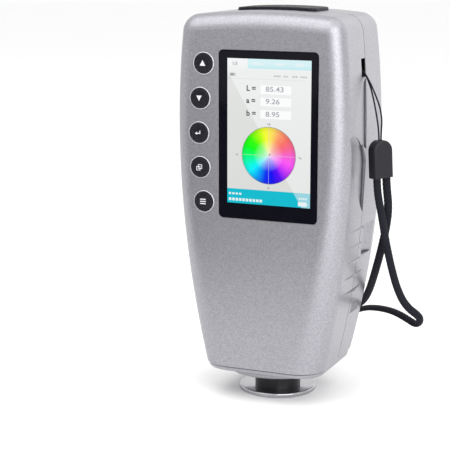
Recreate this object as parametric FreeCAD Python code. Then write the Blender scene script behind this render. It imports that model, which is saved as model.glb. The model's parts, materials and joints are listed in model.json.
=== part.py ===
"""Handheld benchtop colorimeter, built as separate pieces in millimetres.

The origin is the centre of the measuring aperture on the face that lies on the sample.
+X is to the right of someone who looks at the display, -Y is the display's side, +Z is up.
"""
import FreeCAD, Part
import math
import os
from FreeCAD import Placement, Rotation, Vector

# Casing form
body_top = 205.0
body_half_width = 47.35
widest_height = 140.0
front_depth = 31.0
rear_depth = 36.0
side_radius = 540.0
top_crown_radius = 344.0
top_corner_radius = 9.5
back_radius = 920.0
back_height = 125.0
front_round_top = 8.5
front_round_foot = 15.0
back_round_top = 9.0
back_round_foot = 19.0
form_foot = 10.0
wall = 2.4
front_shell_bottom = 18.0
rear_shell_bottom = 20.0
seam_y = 2.0
seam_groove = 0.4
lip_thickness = 1.1
lip_depth = 2.0
lip_clearance = 0.1
overrun = 20.0
fit_gap = 0.05
seat_gap = 0.2
small_gap = 0.3

# Base and measuring port
base_inset = 0.6
base_rim = 2.6
base_edge = 1.2
base_seam = 0.45
base_seam_depth = 0.8
boss_radius = 29.0
boss_bottom = 12.5
boss_round = 3.0
neck_radius = 12.3
neck_bore = 8.0
neck_collar_radius = 14.9
neck_collar = 1.5
flange_radius = 20.8
flange_thickness = 2.57
flange_edge = 0.4
flange_round = 0.8
aperture_radius = 4.0
spigot_height = 2.0
spigot_bore = 6.5

# Display
window_width_share = 0.56452
window_height = 86.15
window_x_share = 0.113
window_z = 142.1
window_thickness = 1.5
window_corner = 2.0
window_proud = 0.1
window_bevel = 0.5
active_shift_x = 0.6
active_z = 144.05
active_side = 4.03
active_height = 75.6
opening_margin = 1.5
gasket_margin = 0.8
gasket_thickness = 0.8
gasket_rim = 3.0
panel_side = 0.23
panel_height = 84.0
panel_thickness = 2.6
panel_z = 142.6
pad_width = 6.0
pad_height = 70.0
pad_offset_share = 0.3965

# Keys
key_names = ("key_up", "key_down", "key_enter", "key_back", "key_menu")
key_x_share = 0.69377
key_middle_z = 142.3
key_pitch = 18.0
key_bow_radius = 240.0
key_ring_radius = 5.9
key_ring_width = 0.6
key_ring_depth = 1.3
key_ring_proud = 0.3
key_cap_radius = 5.0
key_cap_proud = 0.9
key_cap_round = 0.6
key_cap_dish = 26.0
key_cap_dish_depth = 0.45
key_flange_radius = 6.3
key_flange = 1.0
key_stem_radius = 2.0
key_stem = 0.4
key_travel = 0.6

# Main board and what stands on it
board_thickness = 1.6
board_front = 22.5
board_side = 7.85
board_bottom = 88.0
board_top = 190.0
board_corner = 3.0
board_post_side = 3.5
board_post_high_left_side = 15.5
board_post_low_left_side = 9.5
board_post_high_z = 186.5
board_post_low_z = 93.0
post_radius = 3.0
screw_radius = 1.2
screw_head_radius = 2.1
screw_head = 1.4
screw_length = 6.0
tact_size = 6.0
tact_height = 3.2
tact_plunger_radius = 1.7
chip_shares = (
    (0.10, 0.59, 0.20, 0.157, 1.0),
    (0.10, 0.35, 0.15, 0.088, 0.75),
    (0.33, 0.235, 0.09, 0.088, 1.5),
    (-0.025, 0.07, 0.30, 0.049, 2.9),
    (-0.18, 0.755, 0.063, 0.118, 1.25),
)
buzzer_radius = 6.0
buzzer_height = 5.0
buzzer_x = -20.0
buzzer_z = 120.0

# Measure key on the top
measure_width = 43.5
measure_depth = 23.0
measure_y = 4.0
measure_corner = 3.0
measure_proud = 1.6
measure_gap = 0.35
measure_edge = 0.7
measure_flange_margin = 1.6
measure_flange = 1.2
measure_flange_drop = 1.3
measure_stem_radius = 3.5
measure_stem = 3.0
measure_travel = 1.2
measure_board_width = 40.0
measure_board_depth = 20.0
measure_switch_size = 12.0
measure_switch_height = 3.4
measure_plunger_radius = 3.4
measure_plunger = 0.7
shelf_x = 17.0
shelf_width = 4.0
shelf_height = 5.0
shelf_screw_reach = 6.5

# Optics
sphere_inner = 19.0
sphere_wall = 2.0
sphere_sunk = 1.0
sphere_foot_radius = 20.0
sphere_foot = 2.4
sphere_foot_screw_circle = 17.5
sphere_foot_screw_start = 90.0
sphere_rim_radius = 24.5
sphere_rim = 1.5
sphere_rim_screw_circle = 22.6
sphere_rim_screw_start = 30.0
sphere_screw_count = 3
rim_screw_radius = 0.8
rim_screw_head_radius = 1.4
rim_screw_head = 1.0
sphere_pad_radius = 15.0
sphere_pad_top = 22.0
lamp_circle = 11.5
lamp_radius = 1.5
lamp_length = 2.2
lamp_count = 8
lamp_start = 22.5
lamp_board = 1.2
viewing_angle = 8.0
barrel_radius = 4.5
barrel_wall = 0.6
barrel_start = 22.0
barrel_length = 24.0
barrel_boss_radius = 6.4
barrel_boss_reach = 30.0
lens_thickness = 1.6
sensor_board_size = 16.0
sensor_chip_size = 6.0

# Battery
door_width = 45.0
door_height = 75.0
door_z = 104.0
door_corner = 4.0
door_gap = 0.3
door_grip_width = 16.0
door_grip_radius = 5.0
door_grip_depth = 0.8
bay_width = 39.0
bay_height = 69.0
bay_wall = 1.6
bay_floor = 13.2
bay_ledge = 1.2
bay_ledge_margin = 2.6
pack_clearance = 0.3
pack_thickness = 17.4
pack_corner = 3.0
contact_width = 4.0
contact_pitch = 9.0
contact_reach = 8.0
contact_y = 17.0
contact_height = 0.6

# Side port and power switch
port_z = 46.7
port_y = 11.4
port_length = 11.5
port_height = 5.0
port_recess = 1.2
port_cover_gap = 0.25
port_mouth_length = 8.4
port_mouth_height = 3.8
port_plug = 0.7
port_plug_margin = 0.5
side_board_clearance = 1.23
side_board_width = 11.8
side_board_y0 = 4.0
side_board_y1 = 17.0
side_board = 1.2
side_board_top = 45.1
pillar_radius = 2.0
pillar_inset = 2.8
pillar_front_y = 6.2
pillar_rear_y = 13.8
socket_width = 7.6
socket_height = 3.2
socket_depth = 7.0
socket_wall = 0.4
socket_clearance = 0.83
switch_length = 12.0
switch_height = 4.0
switch_depth = 6.0
slider_length = 3.6
slider_height = 2.6
slider_travel = 4.0

# Grip on both sides
lip_break_bottom = 54.0
louvre_top = 92.6
louvre_pitch = 8.45
louvre_count = 5
louvre_depth = 1.6
louvre_height = 3.0
louvre_front_y = -17.5
louvre_deep_y = 7.0
louvre_rear_y = 16.0
louvre_spread = 2.5
scoop_y = 16.0
scoop_radius = 14.0
scoop_depth = 2.6
upper_leaf_front = -18.5
upper_leaf_foot = 134.0
upper_leaf_top = 170.4
upper_leaf_depths = (0.35, 0.90)
upper_leaf_shares = ((1, 0), (1, 1), (0.941, 1), (0.366, 0.732), (0, 0.369), (0.015, 0.287), (0.146, 0.213))
lower_leaf_front = -24.5
lower_leaf_foot = 100.6
lower_leaf_top = 142.6
lower_leaf_depths = (0.30, 1.35)
lower_leaf_shares = ((1, 0), (1, 0.640), (0.649, 0.917), (0.019, 1), (0.298, 0.536), (0.977, 0.010))

# Strap anchor
slot_bottom = 171.6
slot_height = 9.4
slot_front = -4.6
slot_depth = 6.5
slot_wall = 1.2
bar_radius = 0.9
bar_depth = 3.2246
bar_height = 2.5
bar_seat = 0.7

# Screws that hold the casing
shell_post_high_x = 34.0
shell_post_high_z = 194.0
shell_post_low_x = 30.0
shell_post_low_z = 62.0
shell_post_radius = 4.0
shell_screw_radius = 1.25
shell_screw_head_radius = 2.5
shell_screw_head = 2.0
shell_screw_bore = 2.8
shell_screw_seat = 4.0
shell_screw_length = 14.0
base_screw_front_share = 0.7665
base_screw_front_y = -23.0
base_screw_rear_share = 0.7785
base_screw_rear_y = 20.0
base_screw_seat = 1.0
base_post_radius = 3.2
base_post_height = 12.0
base_post_web = 1.6

# Strap
ferrule_width = 11.5
ferrule_thickness = 6.5
ferrule_bottom = 119.6
ferrule_top = 139.0
ferrule_flat = 0.35
ferrule_edge = 1.1
ferrule_x = 55.35
ferrule_y = 1.5
ferrule_turn = 50.0
ferrule_tilt = -3.4
bend_share = 0.45
string_radius = 0.45
loop_radius = 1.9
string_route = (
    (54.6, 0.6, 139.0),
    (54.4, 0.5, 143.2),
    (53.7, 0.4, 148.8),
    (52.4, 0.3, 155.5),
    (51.1, 0.1, 161.3),
    (49.9, -0.1, 165.9),
    (48.6, -0.3, 169.4),
    (46.8, -0.5, 173.0),
    (41.6, -0.6, 172.3),
    (41.4, -1.4, 175.7),
    (44.6, -1.6, 175.7),
    (46.9, -1.7, 173.6),
    (49.4, -1.6, 169.7),
    (51.5, -1.5, 165.6),
    (53.6, -1.2, 160.7),
    (55.4, -0.6, 155.4),
    (56.1, 0.3, 149.2),
    (55.4, 1.4, 143.2),
    (55.4, 1.6, 139.05),
)
loop_route = (
    (54.1, 0.0, 119.45),
    (54.3, 0.3, 114.0),
    (55.2, 0.4, 107.9),
    (56.8, 0.5, 100.6),
    (58.8, 0.8, 89.1),
    (61.6, 2.6, 74.0),
    (64.6, 6.5, 59.4),
    (68.4, 11.0, 49.5),
    (75.6, 15.6, 43.1),
    (72.8, 19.6, 37.2),
    (63.8, 24.0, 40.3),
    (55.9, 29.0, 41.5),
    (46.9, 35.5, 40.7),
    (37.3, 43.5, 38.3),
    (29.7, 49.6, 34.8),
    (24.9, 42.6, 33.8),
    (29.6, 37.9, 38.2),
    (35.9, 38.6, 42.9),
    (42.3, 29.0, 52.3),
    (50.3, 14.0, 67.8),
    (55.3, 7.6, 81.8),
    (58.2, 6.0, 94.4),
    (59.1, 5.4, 104.2),
    (58.0, 4.6, 114.3),
    (57.8, 4.4, 119.78),
)

# Places that follow from the sizes above
window_width = 2 * body_half_width * window_width_share
window_x = body_half_width * window_x_share
active_x = window_x + active_shift_x
active_width = window_width - 2 * active_side
panel_width = window_width - 2 * panel_side
pad_offset = active_width * pad_offset_share
key_middle_x = -body_half_width * key_x_share
board_half_width = body_half_width - board_side
side_centre = body_half_width - side_radius
inner_front = -front_depth + wall
board_front_y = -board_front
board_rear_y = board_front_y + board_thickness
base_floor_bottom = front_shell_bottom - base_rim
sphere_outer = sphere_inner + sphere_wall
sphere_z = front_shell_bottom + sphere_outer - sphere_sunk
measure_flange_top = body_top - wall - measure_flange_drop
measure_stem_end = measure_flange_top - measure_flange - measure_stem
measure_plunger_top = measure_stem_end - measure_travel - seat_gap
measure_board_top = measure_plunger_top - measure_plunger - measure_switch_height
key_flange_front = inner_front + seat_gap
key_stem_end = key_flange_front + key_flange + key_stem
key_plunger_top = key_stem_end + key_travel + fit_gap
key_places = {}
for key_index, key_name in enumerate(key_names):
    key_rise = (len(key_names) // 2 - key_index) * key_pitch
    key_places[key_name] = (key_middle_x + key_rise ** 2 / (2 * key_bow_radius), key_middle_z + key_rise)
louvre_heights = [louvre_top - index * louvre_pitch for index in range(louvre_count)]
board_posts = (
    (board_post_high_left_side - board_half_width, board_post_high_z),
    (board_half_width - board_post_side, board_post_high_z),
    (board_post_low_left_side - board_half_width, board_post_low_z),
    (board_half_width - board_post_side, board_post_low_z),
)
shell_posts = (
    (shell_post_high_x, shell_post_high_z),
    (-shell_post_high_x, shell_post_high_z),
    (shell_post_low_x, shell_post_low_z),
    (-shell_post_low_x, shell_post_low_z),
)
pillar_ys = (pillar_front_y, pillar_rear_y)

os.makedirs("parts", exist_ok=True)


# Half width of the casing, and the places that follow from it

def surface_x(z, inset=0):
    """Half width of the casing at a height."""
    return side_centre + math.sqrt((side_radius - inset) ** 2 - (z - widest_height) ** 2)


foot_half_width = surface_x(front_shell_bottom)
base_screw_front_x = foot_half_width * base_screw_front_share
base_screw_rear_x = foot_half_width * base_screw_rear_share
base_screw_places = (
    (base_screw_front_x, base_screw_front_y),
    (-base_screw_front_x, base_screw_front_y),
    (base_screw_rear_x, base_screw_rear_y),
    (-base_screw_rear_x, base_screw_rear_y),
)
side_room = surface_x(port_z) - wall
socket_reach = side_room - socket_clearance
side_board_outer_x = side_room - side_board_clearance
side_board_inner_x = side_board_outer_x - side_board_width
pillar_x = side_board_inner_x + pillar_inset


# Small shared shapes

def box(x0, x1, y0, y1, z0, z1):
    """Box between two corners."""
    return Part.makeBox(x1 - x0, y1 - y0, z1 - z0, Vector(x0, y0, z0))


def rod(radius, start, end):
    """Cylinder from one point to another."""
    start = Vector(*start)
    run = Vector(*end) - start
    return Part.makeCylinder(radius, run.Length, start, run)


def rounded_rectangle(width, height, corner):
    """Wire of a rounded rectangle about the origin of the XY plane."""
    x = width / 2
    y = height / 2
    bend = corner * (1 - math.sqrt(0.5))
    corners = ((1, 1), (-1, 1), (-1, -1), (1, -1))
    edges = []
    for index, (sx, sy) in enumerate(corners):
        first = Vector(sx * x, sy * (y - corner))
        last = Vector(sx * (x - corner), sy * y)
        if sx * sy < 0:
            first, last = last, first
        middle = Vector(sx * (x - bend), sy * (y - bend))
        edges.append(Part.Arc(first, middle, last).toShape())
        next_x, next_y = corners[(index + 1) % len(corners)]
        follow = Vector(next_x * (x - corner), next_y * y)
        if next_x * next_y > 0:
            follow = Vector(next_x * x, next_y * (y - corner))
        edges.append(Part.LineSegment(last, follow).toShape())
    return Part.Wire(edges)


def upright_plate(x, z, width, height, corner, y0, y1):
    """Rounded plate that faces the front, between two depths."""
    face = Part.Face(rounded_rectangle(width, height, corner))
    plate = face.extrude(Vector(0, 0, y1 - y0))
    plate.Placement = Placement(Vector(x, y1, z), Rotation(Vector(1, 0, 0), 90))
    return plate


def flat_plate(x, y, width, depth, corner, z0, z1):
    """Rounded plate that lies flat, between two heights."""
    plate = Part.Face(rounded_rectangle(width, depth, corner)).extrude(Vector(0, 0, z1 - z0))
    plate.translate(Vector(x, y, z0))
    return plate


def mirrored(shape):
    """The same shape on the other side of the casing."""
    return shape.mirror(Vector(0, 0, 0), Vector(1, 0, 0))


def screw(seat, direction, radius, head_radius, head, length):
    """Screw whose head stands on a seat and whose shank runs along a direction."""
    seat = Vector(*seat)
    direction = Vector(*direction)
    shank = Part.makeCylinder(radius, length, seat, direction)
    cap = Part.makeCylinder(head_radius, head, seat, direction * -1)
    return shank.fuse(cap).removeSplitter()


def save(name, *solids):
    """Write one node, made of one or more solids."""
    pieces = []
    for shape in solids:
        pieces += shape.Solids
    shape = pieces[0] if len(pieces) == 1 else Part.makeCompound(pieces)
    shape.exportStep(f"parts/{name}.step")
    volume = sum(piece.Volume for piece in pieces)
    print(f"{name:18s} solids {len(pieces):2d} volume {volume / 1000:8.2f} cm3 valid {shape.isValid()}")


# Casing form

def front_outline(inset, y):
    """Closed front view of the casing: crown, two corners, two long side arcs and the foot."""
    corner = top_corner_radius - inset
    crown_centre = body_top - top_crown_radius
    to_side = side_radius - top_corner_radius
    to_crown = top_crown_radius - top_corner_radius
    dx = -side_centre
    dz = crown_centre - widest_height
    apart = math.hypot(dx, dz)
    along = (to_side ** 2 - to_crown ** 2 + apart ** 2) / (2 * apart)
    aside = math.sqrt(to_side ** 2 - along ** 2)
    corner_x = side_centre + (along * dx - aside * dz) / apart
    corner_z = widest_height + (along * dz + aside * dx) / apart
    side_way = Vector(corner_x - side_centre, 0, corner_z - widest_height).normalize()
    crown_way = Vector(corner_x, 0, corner_z - crown_centre).normalize()
    centre = Vector(corner_x, y, corner_z)
    side_end = centre + side_way * corner
    crown_end = centre + crown_way * corner
    middle = centre + (side_way + crown_way).normalize() * corner
    foot = Vector(surface_x(form_foot, inset), y, form_foot)
    widest = Vector(body_half_width - inset, y, widest_height)
    top = Vector(0, y, body_top - inset)

    def left(point):
        return Vector(-point.x, point.y, point.z)

    edges = [
        Part.LineSegment(left(foot), foot).toShape(),
        Part.Arc(foot, widest, side_end).toShape(),
        Part.Arc(side_end, middle, crown_end).toShape(),
        Part.Arc(crown_end, top, left(crown_end)).toShape(),
        Part.Arc(left(crown_end), left(middle), left(side_end)).toShape(),
        Part.Arc(left(side_end), left(widest), left(foot)).toShape(),
    ]
    return Part.Wire(edges)


def round_rim(solid, face, top_round, foot_round):
    """Round the rim of a face, with a radius that grows towards the foot on both long sides."""
    document = FreeCAD.newDocument("rounding")
    base = document.addObject("Part::Feature", "base")
    base.Shape = solid
    rounded = document.addObject("Part::Fillet", "rounded")
    rounded.Base = base
    radii = []
    for number, edge in enumerate(solid.Edges, start=1):
        on_rim = any(edge.isSame(other) for other in face.Edges)
        low = edge.BoundBox.ZMin < form_foot + wall
        if not on_rim or (low and edge.BoundBox.ZMax < widest_height):
            continue
        rises = edge.valueAt(edge.FirstParameter).z < edge.valueAt(edge.LastParameter).z
        start = foot_round if low and rises else top_round
        end = foot_round if low and not rises else top_round
        radii.append((number, start, end))
    rounded.Edges = radii
    document.recompute()
    result = rounded.Shape.copy().Solids[0]
    FreeCAD.closeDocument(document.Name)
    return result


def casing_form(inset):
    """Solid casing form, set in from the outer surface by the same amount everywhere."""
    front = -front_depth + inset
    reach = front_depth + rear_depth + overrun
    form = Part.Face(front_outline(inset, front)).extrude(Vector(0, reach, 0))
    width = 2 * (body_half_width + overrun)
    axis_start = Vector(-width / 2, rear_depth - back_radius, back_height)
    form = form.common(Part.makeCylinder(back_radius - inset, width, axis_start, Vector(1, 0, 0)))
    face = min(form.Faces, key=lambda item: item.CenterOfMass.y)
    form = round_rim(form, face, front_round_top - inset, front_round_foot - inset)
    face = max(form.Faces, key=lambda item: item.CenterOfMass.y)
    return round_rim(form, face, back_round_top - inset, back_round_foot - inset)


outer_form = casing_form(0)
inner_form = casing_form(wall)
lip_form = casing_form(wall - lip_thickness)
lip_seat_form = casing_form(wall - lip_thickness - lip_clearance)
groove_form = casing_form(seam_groove)
reach_x = body_half_width + overrun
reach_y = rear_depth + overrun
reach_z = body_top + overrun


def slab_y(y0, y1, z0=0):
    """Everything between two depths."""
    return box(-reach_x, reach_x, y0, y1, z0, reach_z)


def slab_z(z0, z1):
    """Everything between two heights."""
    return box(-reach_x, reach_x, -reach_y, reach_y, z0, z1)


# Side features, worked out in a frame that leans with the casing's side

def side_frame(z):
    """Placement on the right side: X points out of the surface and Y towards the rear."""
    lean = math.degrees(math.asin((widest_height - z) / side_radius))
    return Placement(Vector(surface_x(z), 0, z), Rotation(Vector(0, 1, 0), lean))


def side_box(u0, u1, y0, y1, w0, w1):
    """Box on the right side at the height of the port, in the leaning frame."""
    shape = box(u0, u1, y0, y1, w0, w1)
    shape.Placement = side_frame(port_z).multiply(shape.Placement)
    return shape


def louvre(z):
    """Cutter of one grip groove: a level ledge over two slanting faces that meet at its deepest point."""
    x = surface_x(z)
    deep = Vector(x - louvre_depth, louvre_deep_y, z)
    ends = (
        Vector(x, louvre_front_y, z),
        Vector(x, louvre_rear_y, z),
        Vector(x, louvre_deep_y, z - louvre_height),
    )
    front, rear, low = [deep + (end - deep) * louvre_spread for end in ends]
    faces = []
    for corners in ((deep, front, rear), (deep, low, front), (deep, rear, low), (front, low, rear)):
        faces.append(Part.Face(Part.makePolygon(list(corners) + [corners[0]])))
    return Part.makeSolid(Part.makeShell(faces))


def scoop_rod(margin):
    """Rod that leans with the side, along the hollow behind the upper grooves, with a margin all round."""
    top = louvre_heights[0]
    bottom = louvre_heights[2]
    lean = (surface_x(top) - surface_x(bottom)) / (top - bottom)
    low = bottom - overrun
    high = top + overrun
    x = surface_x(bottom) - scoop_depth + scoop_radius
    whole = rod(scoop_radius + margin, (x + (low - bottom) * lean, scoop_y, low),
                (x + (high - bottom) * lean, scoop_y, high))
    return whole.common(slab_z(bottom - margin, top + margin))


def leaf(front, foot, top, depths, outline_shares):
    """Cutter of one leaf-shaped finger relief: a flat facet that sinks towards the seam."""
    span = seam_y - front
    start_depth, end_depth = depths

    def facet_x(y_share, z_share):
        chord = surface_x(foot) + z_share * (surface_x(top) - surface_x(foot))
        return chord - start_depth - y_share * (end_depth - start_depth)

    def at(y_share, z_share, x=None):
        if x is None:
            x = facet_x(y_share, z_share)
        return Vector(x, front + y_share * span, foot + z_share * (top - foot))

    points = [at(y_share, z_share) for y_share, z_share in ((-1, -1), (2, -1), (2, 2), (-1, 2), (-1, -1))]
    facet = Part.Face(Part.makePolygon(points)).extrude(Vector(overrun, 0, 0))
    deep_x = surface_x(foot) - 2 * wall
    seam_foot, seam_top, *rest = [at(*shares, deep_x) for shares in outline_shares]
    edges = [Part.LineSegment(seam_foot, seam_top).toShape()]
    start = seam_top
    if len(rest) % 2:
        edges.append(Part.LineSegment(start, rest[0]).toShape())
        start = rest.pop(0)
    for middle, end in zip(rest[::2], rest[1::2]):
        edges.append(Part.Arc(start, middle, end).toShape())
        start = end
    edges.append(Part.LineSegment(start, seam_foot).toShape())
    return Part.Face(Part.Wire(edges)).extrude(Vector(overrun, 0, 0)).common(facet)


def leaf_cutters():
    """Both finger reliefs on both sides."""
    right = [
        leaf(upper_leaf_front, upper_leaf_foot, upper_leaf_top, upper_leaf_depths, upper_leaf_shares),
        leaf(lower_leaf_front, lower_leaf_foot, lower_leaf_top, lower_leaf_depths, lower_leaf_shares),
    ]
    return right + [mirrored(shape) for shape in right]


def side_cutters():
    """All grip cutters of both sides."""
    right = [louvre(z) for z in louvre_heights]
    right.append(scoop_rod(0))
    return right + [mirrored(shape) for shape in right]


# Casing shells

def post(x, z, radius, y0, y1):
    """Round post that stands along Y."""
    return rod(radius, (x, y0, z), (x, y1, z))


def base_post(x, y, web_bottom):
    """Upright post that takes a base screw, with a web out to the side wall."""
    pillar = rod(base_post_radius, (x, y, front_shell_bottom), (x, y, web_bottom + base_post_height))
    web = box(0, reach_x, y - base_post_web / 2, y + base_post_web / 2,
              web_bottom, web_bottom + base_post_height)
    web.translate(Vector(abs(x), 0, 0))
    if x < 0:
        web = mirrored(web)
    return pillar.fuse(web).common(groove_form)


def measure_opening(gap):
    """Upright prism of the measure key, widened by a gap."""
    width = measure_width + 2 * gap
    depth = measure_depth + 2 * gap
    return flat_plate(0, measure_y, width, depth, measure_corner + gap,
                      measure_flange_top - fit_gap, reach_z)


def strap_pocket():
    """Space behind the strap slot."""
    inner = surface_x(slot_bottom) - slot_depth
    return box(inner, reach_x, slot_front, seam_y, slot_bottom, slot_bottom + slot_height)


def strap_bar(gap):
    """Bar across the strap slot, widened by a gap."""
    ends = (slot_front - bar_seat - gap, seam_y + bar_seat + gap)
    x = surface_x(slot_bottom) - bar_depth
    z = slot_bottom + bar_height
    return rod(bar_radius + gap, (x, ends[0], z), (x, ends[1], z))


def make_front_shell():
    shell = outer_form.cut(inner_form).common(slab_y(-reach_y, seam_y, front_shell_bottom))
    lip_room = lip_seat_form.cut(inner_form).common(slab_y(seam_y - lip_depth, seam_y))
    lip_room = lip_room.cut(slab_z(lip_break_bottom, slot_bottom - slot_wall / 2))
    groove = outer_form.cut(groove_form).common(slab_y(seam_y - seam_groove / 2, seam_y + seam_groove / 2))

    additions = []
    for x, z in board_posts:
        additions.append(post(x, z, post_radius, inner_front - wall / 2, board_front_y))
    for x, z in shell_posts:
        additions.append(post(x, z, shell_post_radius, inner_front - wall / 2, seam_y))
    for x, y in base_screw_places:
        if y < seam_y:
            additions.append(base_post(x, y, front_shell_bottom))
    inner = surface_x(slot_bottom) - slot_depth
    outer = surface_x(slot_bottom + slot_height) - wall / 3
    additions.append(box(inner - slot_wall, outer, slot_front - slot_wall, seam_y,
                         slot_bottom - slot_wall, slot_bottom + slot_height + slot_wall))
    additions = [shape.common(outer_form) for shape in additions]
    shell = shell.fuse(additions)

    recess = window_thickness - window_proud
    bevel = window_bevel + fit_gap
    rim = upright_plate(window_x, window_z, window_width + 2 * bevel, window_height + 2 * bevel,
                        window_corner + window_bevel, -front_depth - overrun, -front_depth + window_bevel)
    rim = rim.makeChamfer(window_bevel, [edge for edge in rim.Edges if edge.BoundBox.YMin > -front_depth])
    cutters = [
        rim,
        upright_plate(window_x, window_z, window_width + 2 * fit_gap, window_height + 2 * fit_gap,
                      window_corner, -front_depth - overrun, -front_depth + recess),
        upright_plate(active_x, active_z,
                      active_width + 2 * opening_margin, active_height + 2 * opening_margin,
                      window_corner, -front_depth - overrun, inner_front + fit_gap),
        measure_opening(measure_gap),
        strap_pocket(),
        strap_bar(fit_gap),
        lip_room,
        groove,
    ]
    for x, z in key_places.values():
        ring = key_ring_radius + fit_gap
        cutters.append(post(x, z, ring, -front_depth - overrun, -front_depth + key_ring_depth))
        cutters.append(post(x, z, key_ring_radius - key_ring_width, -front_depth, inner_front + fit_gap))
    for x, z in board_posts:
        cutters.append(post(x, z, screw_radius + fit_gap,
                            board_front_y - screw_length, board_front_y + overrun))
    for x, z in shell_posts:
        depth = shell_screw_length - shell_screw_seat + small_gap
        cutters.append(post(x, z, shell_screw_radius + fit_gap, seam_y - depth, seam_y))
    for x, y in base_screw_places:
        if y < seam_y:
            cutters.append(rod(shell_screw_radius + fit_gap, (x, y, front_shell_bottom),
                               (x, y, front_shell_bottom + base_post_height - wall)))
    return shell.cut(cutters + leaf_cutters() + side_cutters())


def battery_prism(width, height, corner, y0):
    """Upright prism of the battery bay or its door."""
    return upright_plate(0, door_z, width, height, corner, y0, reach_y)


def make_rear_shell():
    shell = outer_form.cut(inner_form).common(slab_y(seam_y, reach_y, rear_shell_bottom))
    lip = lip_form.cut(inner_form).common(
        slab_y(seam_y - lip_depth + lip_clearance, seam_y + wall, rear_shell_bottom))
    lip = lip.cut(slab_y(-reach_y, seam_y).common(
        slab_z(lip_break_bottom - lip_clearance, slot_bottom - slot_wall / 2 + lip_clearance)))
    shell = shell.fuse(lip)
    groove = outer_form.cut(groove_form).common(slab_y(seam_y - seam_groove / 2, seam_y + seam_groove / 2))
    shell = shell.cut(groove)

    ledge_form = casing_form(wall + bay_ledge)
    bay_hole = battery_prism(bay_width, bay_height, pack_corner, bay_floor)
    bay_outer = battery_prism(bay_width + 2 * bay_wall, bay_height + 2 * bay_wall, pack_corner + bay_wall,
                              bay_floor - bay_wall)
    ledge_width = door_width + 2 * bay_ledge_margin
    ledge_height = door_height + 2 * bay_ledge_margin
    ledge = battery_prism(ledge_width, ledge_height, door_corner, bay_floor)
    ledge = ledge.common(inner_form.cut(ledge_form))
    backing = scoop_rod(wall).common(inner_form)
    additions = [bay_outer.common(inner_form), ledge, backing, mirrored(backing)]
    for x, z in shell_posts:
        additions.append(post(x, z, shell_post_radius, seam_y, reach_y).common(outer_form))
    for x, y in base_screw_places:
        if y > seam_y:
            additions.append(base_post(x, y, rear_shell_bottom))
    for side in (-1, 1):
        x = side * shelf_x
        shelf = box(x - shelf_width / 2, x + shelf_width / 2, measure_y - measure_board_depth / 2, reach_y,
                    measure_board_top - board_thickness - shelf_height, measure_board_top - board_thickness)
        additions.append(shelf.common(groove_form))
    inner = surface_x(slot_bottom) - slot_depth
    outer = surface_x(slot_bottom + slot_height) - wall / 3
    additions.append(box(inner - slot_wall, outer, seam_y, seam_y + slot_wall,
                         slot_bottom - slot_wall, slot_bottom + slot_height + slot_wall))
    shell = shell.fuse(additions)

    mouth = side_box(-overrun / 2, 0, port_y - port_mouth_length / 2, port_y + port_mouth_length / 2,
                     -port_mouth_height / 2, port_mouth_height / 2)
    recess = side_box(-port_recess, overrun, port_y - port_length / 2, port_y + port_length / 2,
                      -port_height / 2, port_height / 2)
    cutters = [
        battery_prism(door_width + 2 * door_gap, door_height + 2 * door_gap,
                      door_corner + door_gap, bay_floor)
        .cut(inner_form),
        bay_hole,
        measure_opening(measure_gap),
        strap_pocket(),
        strap_bar(fit_gap),
        recess,
        mouth,
        mirrored(recess),
        mirrored(mouth),
    ]
    for x, z in shell_posts:
        cutters.append(post(x, z, shell_screw_radius + fit_gap, seam_y, reach_y))
        cutters.append(post(x, z, shell_screw_bore, seam_y + shell_screw_seat, reach_y))
    for x, y in base_screw_places:
        if y > seam_y:
            cutters.append(rod(shell_screw_radius + fit_gap, (x, y, 0),
                               (x, y, rear_shell_bottom + base_post_height - wall)))
    for x, y in shelf_screw_places():
        z = measure_board_top
        screw_end = z - board_thickness - shelf_height + fit_gap
        cutters.append(rod(screw_radius + fit_gap, (x, y, screw_end), (x, y, z)))
    return shell.cut(cutters + side_cutters())


# Base and measuring port

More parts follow.
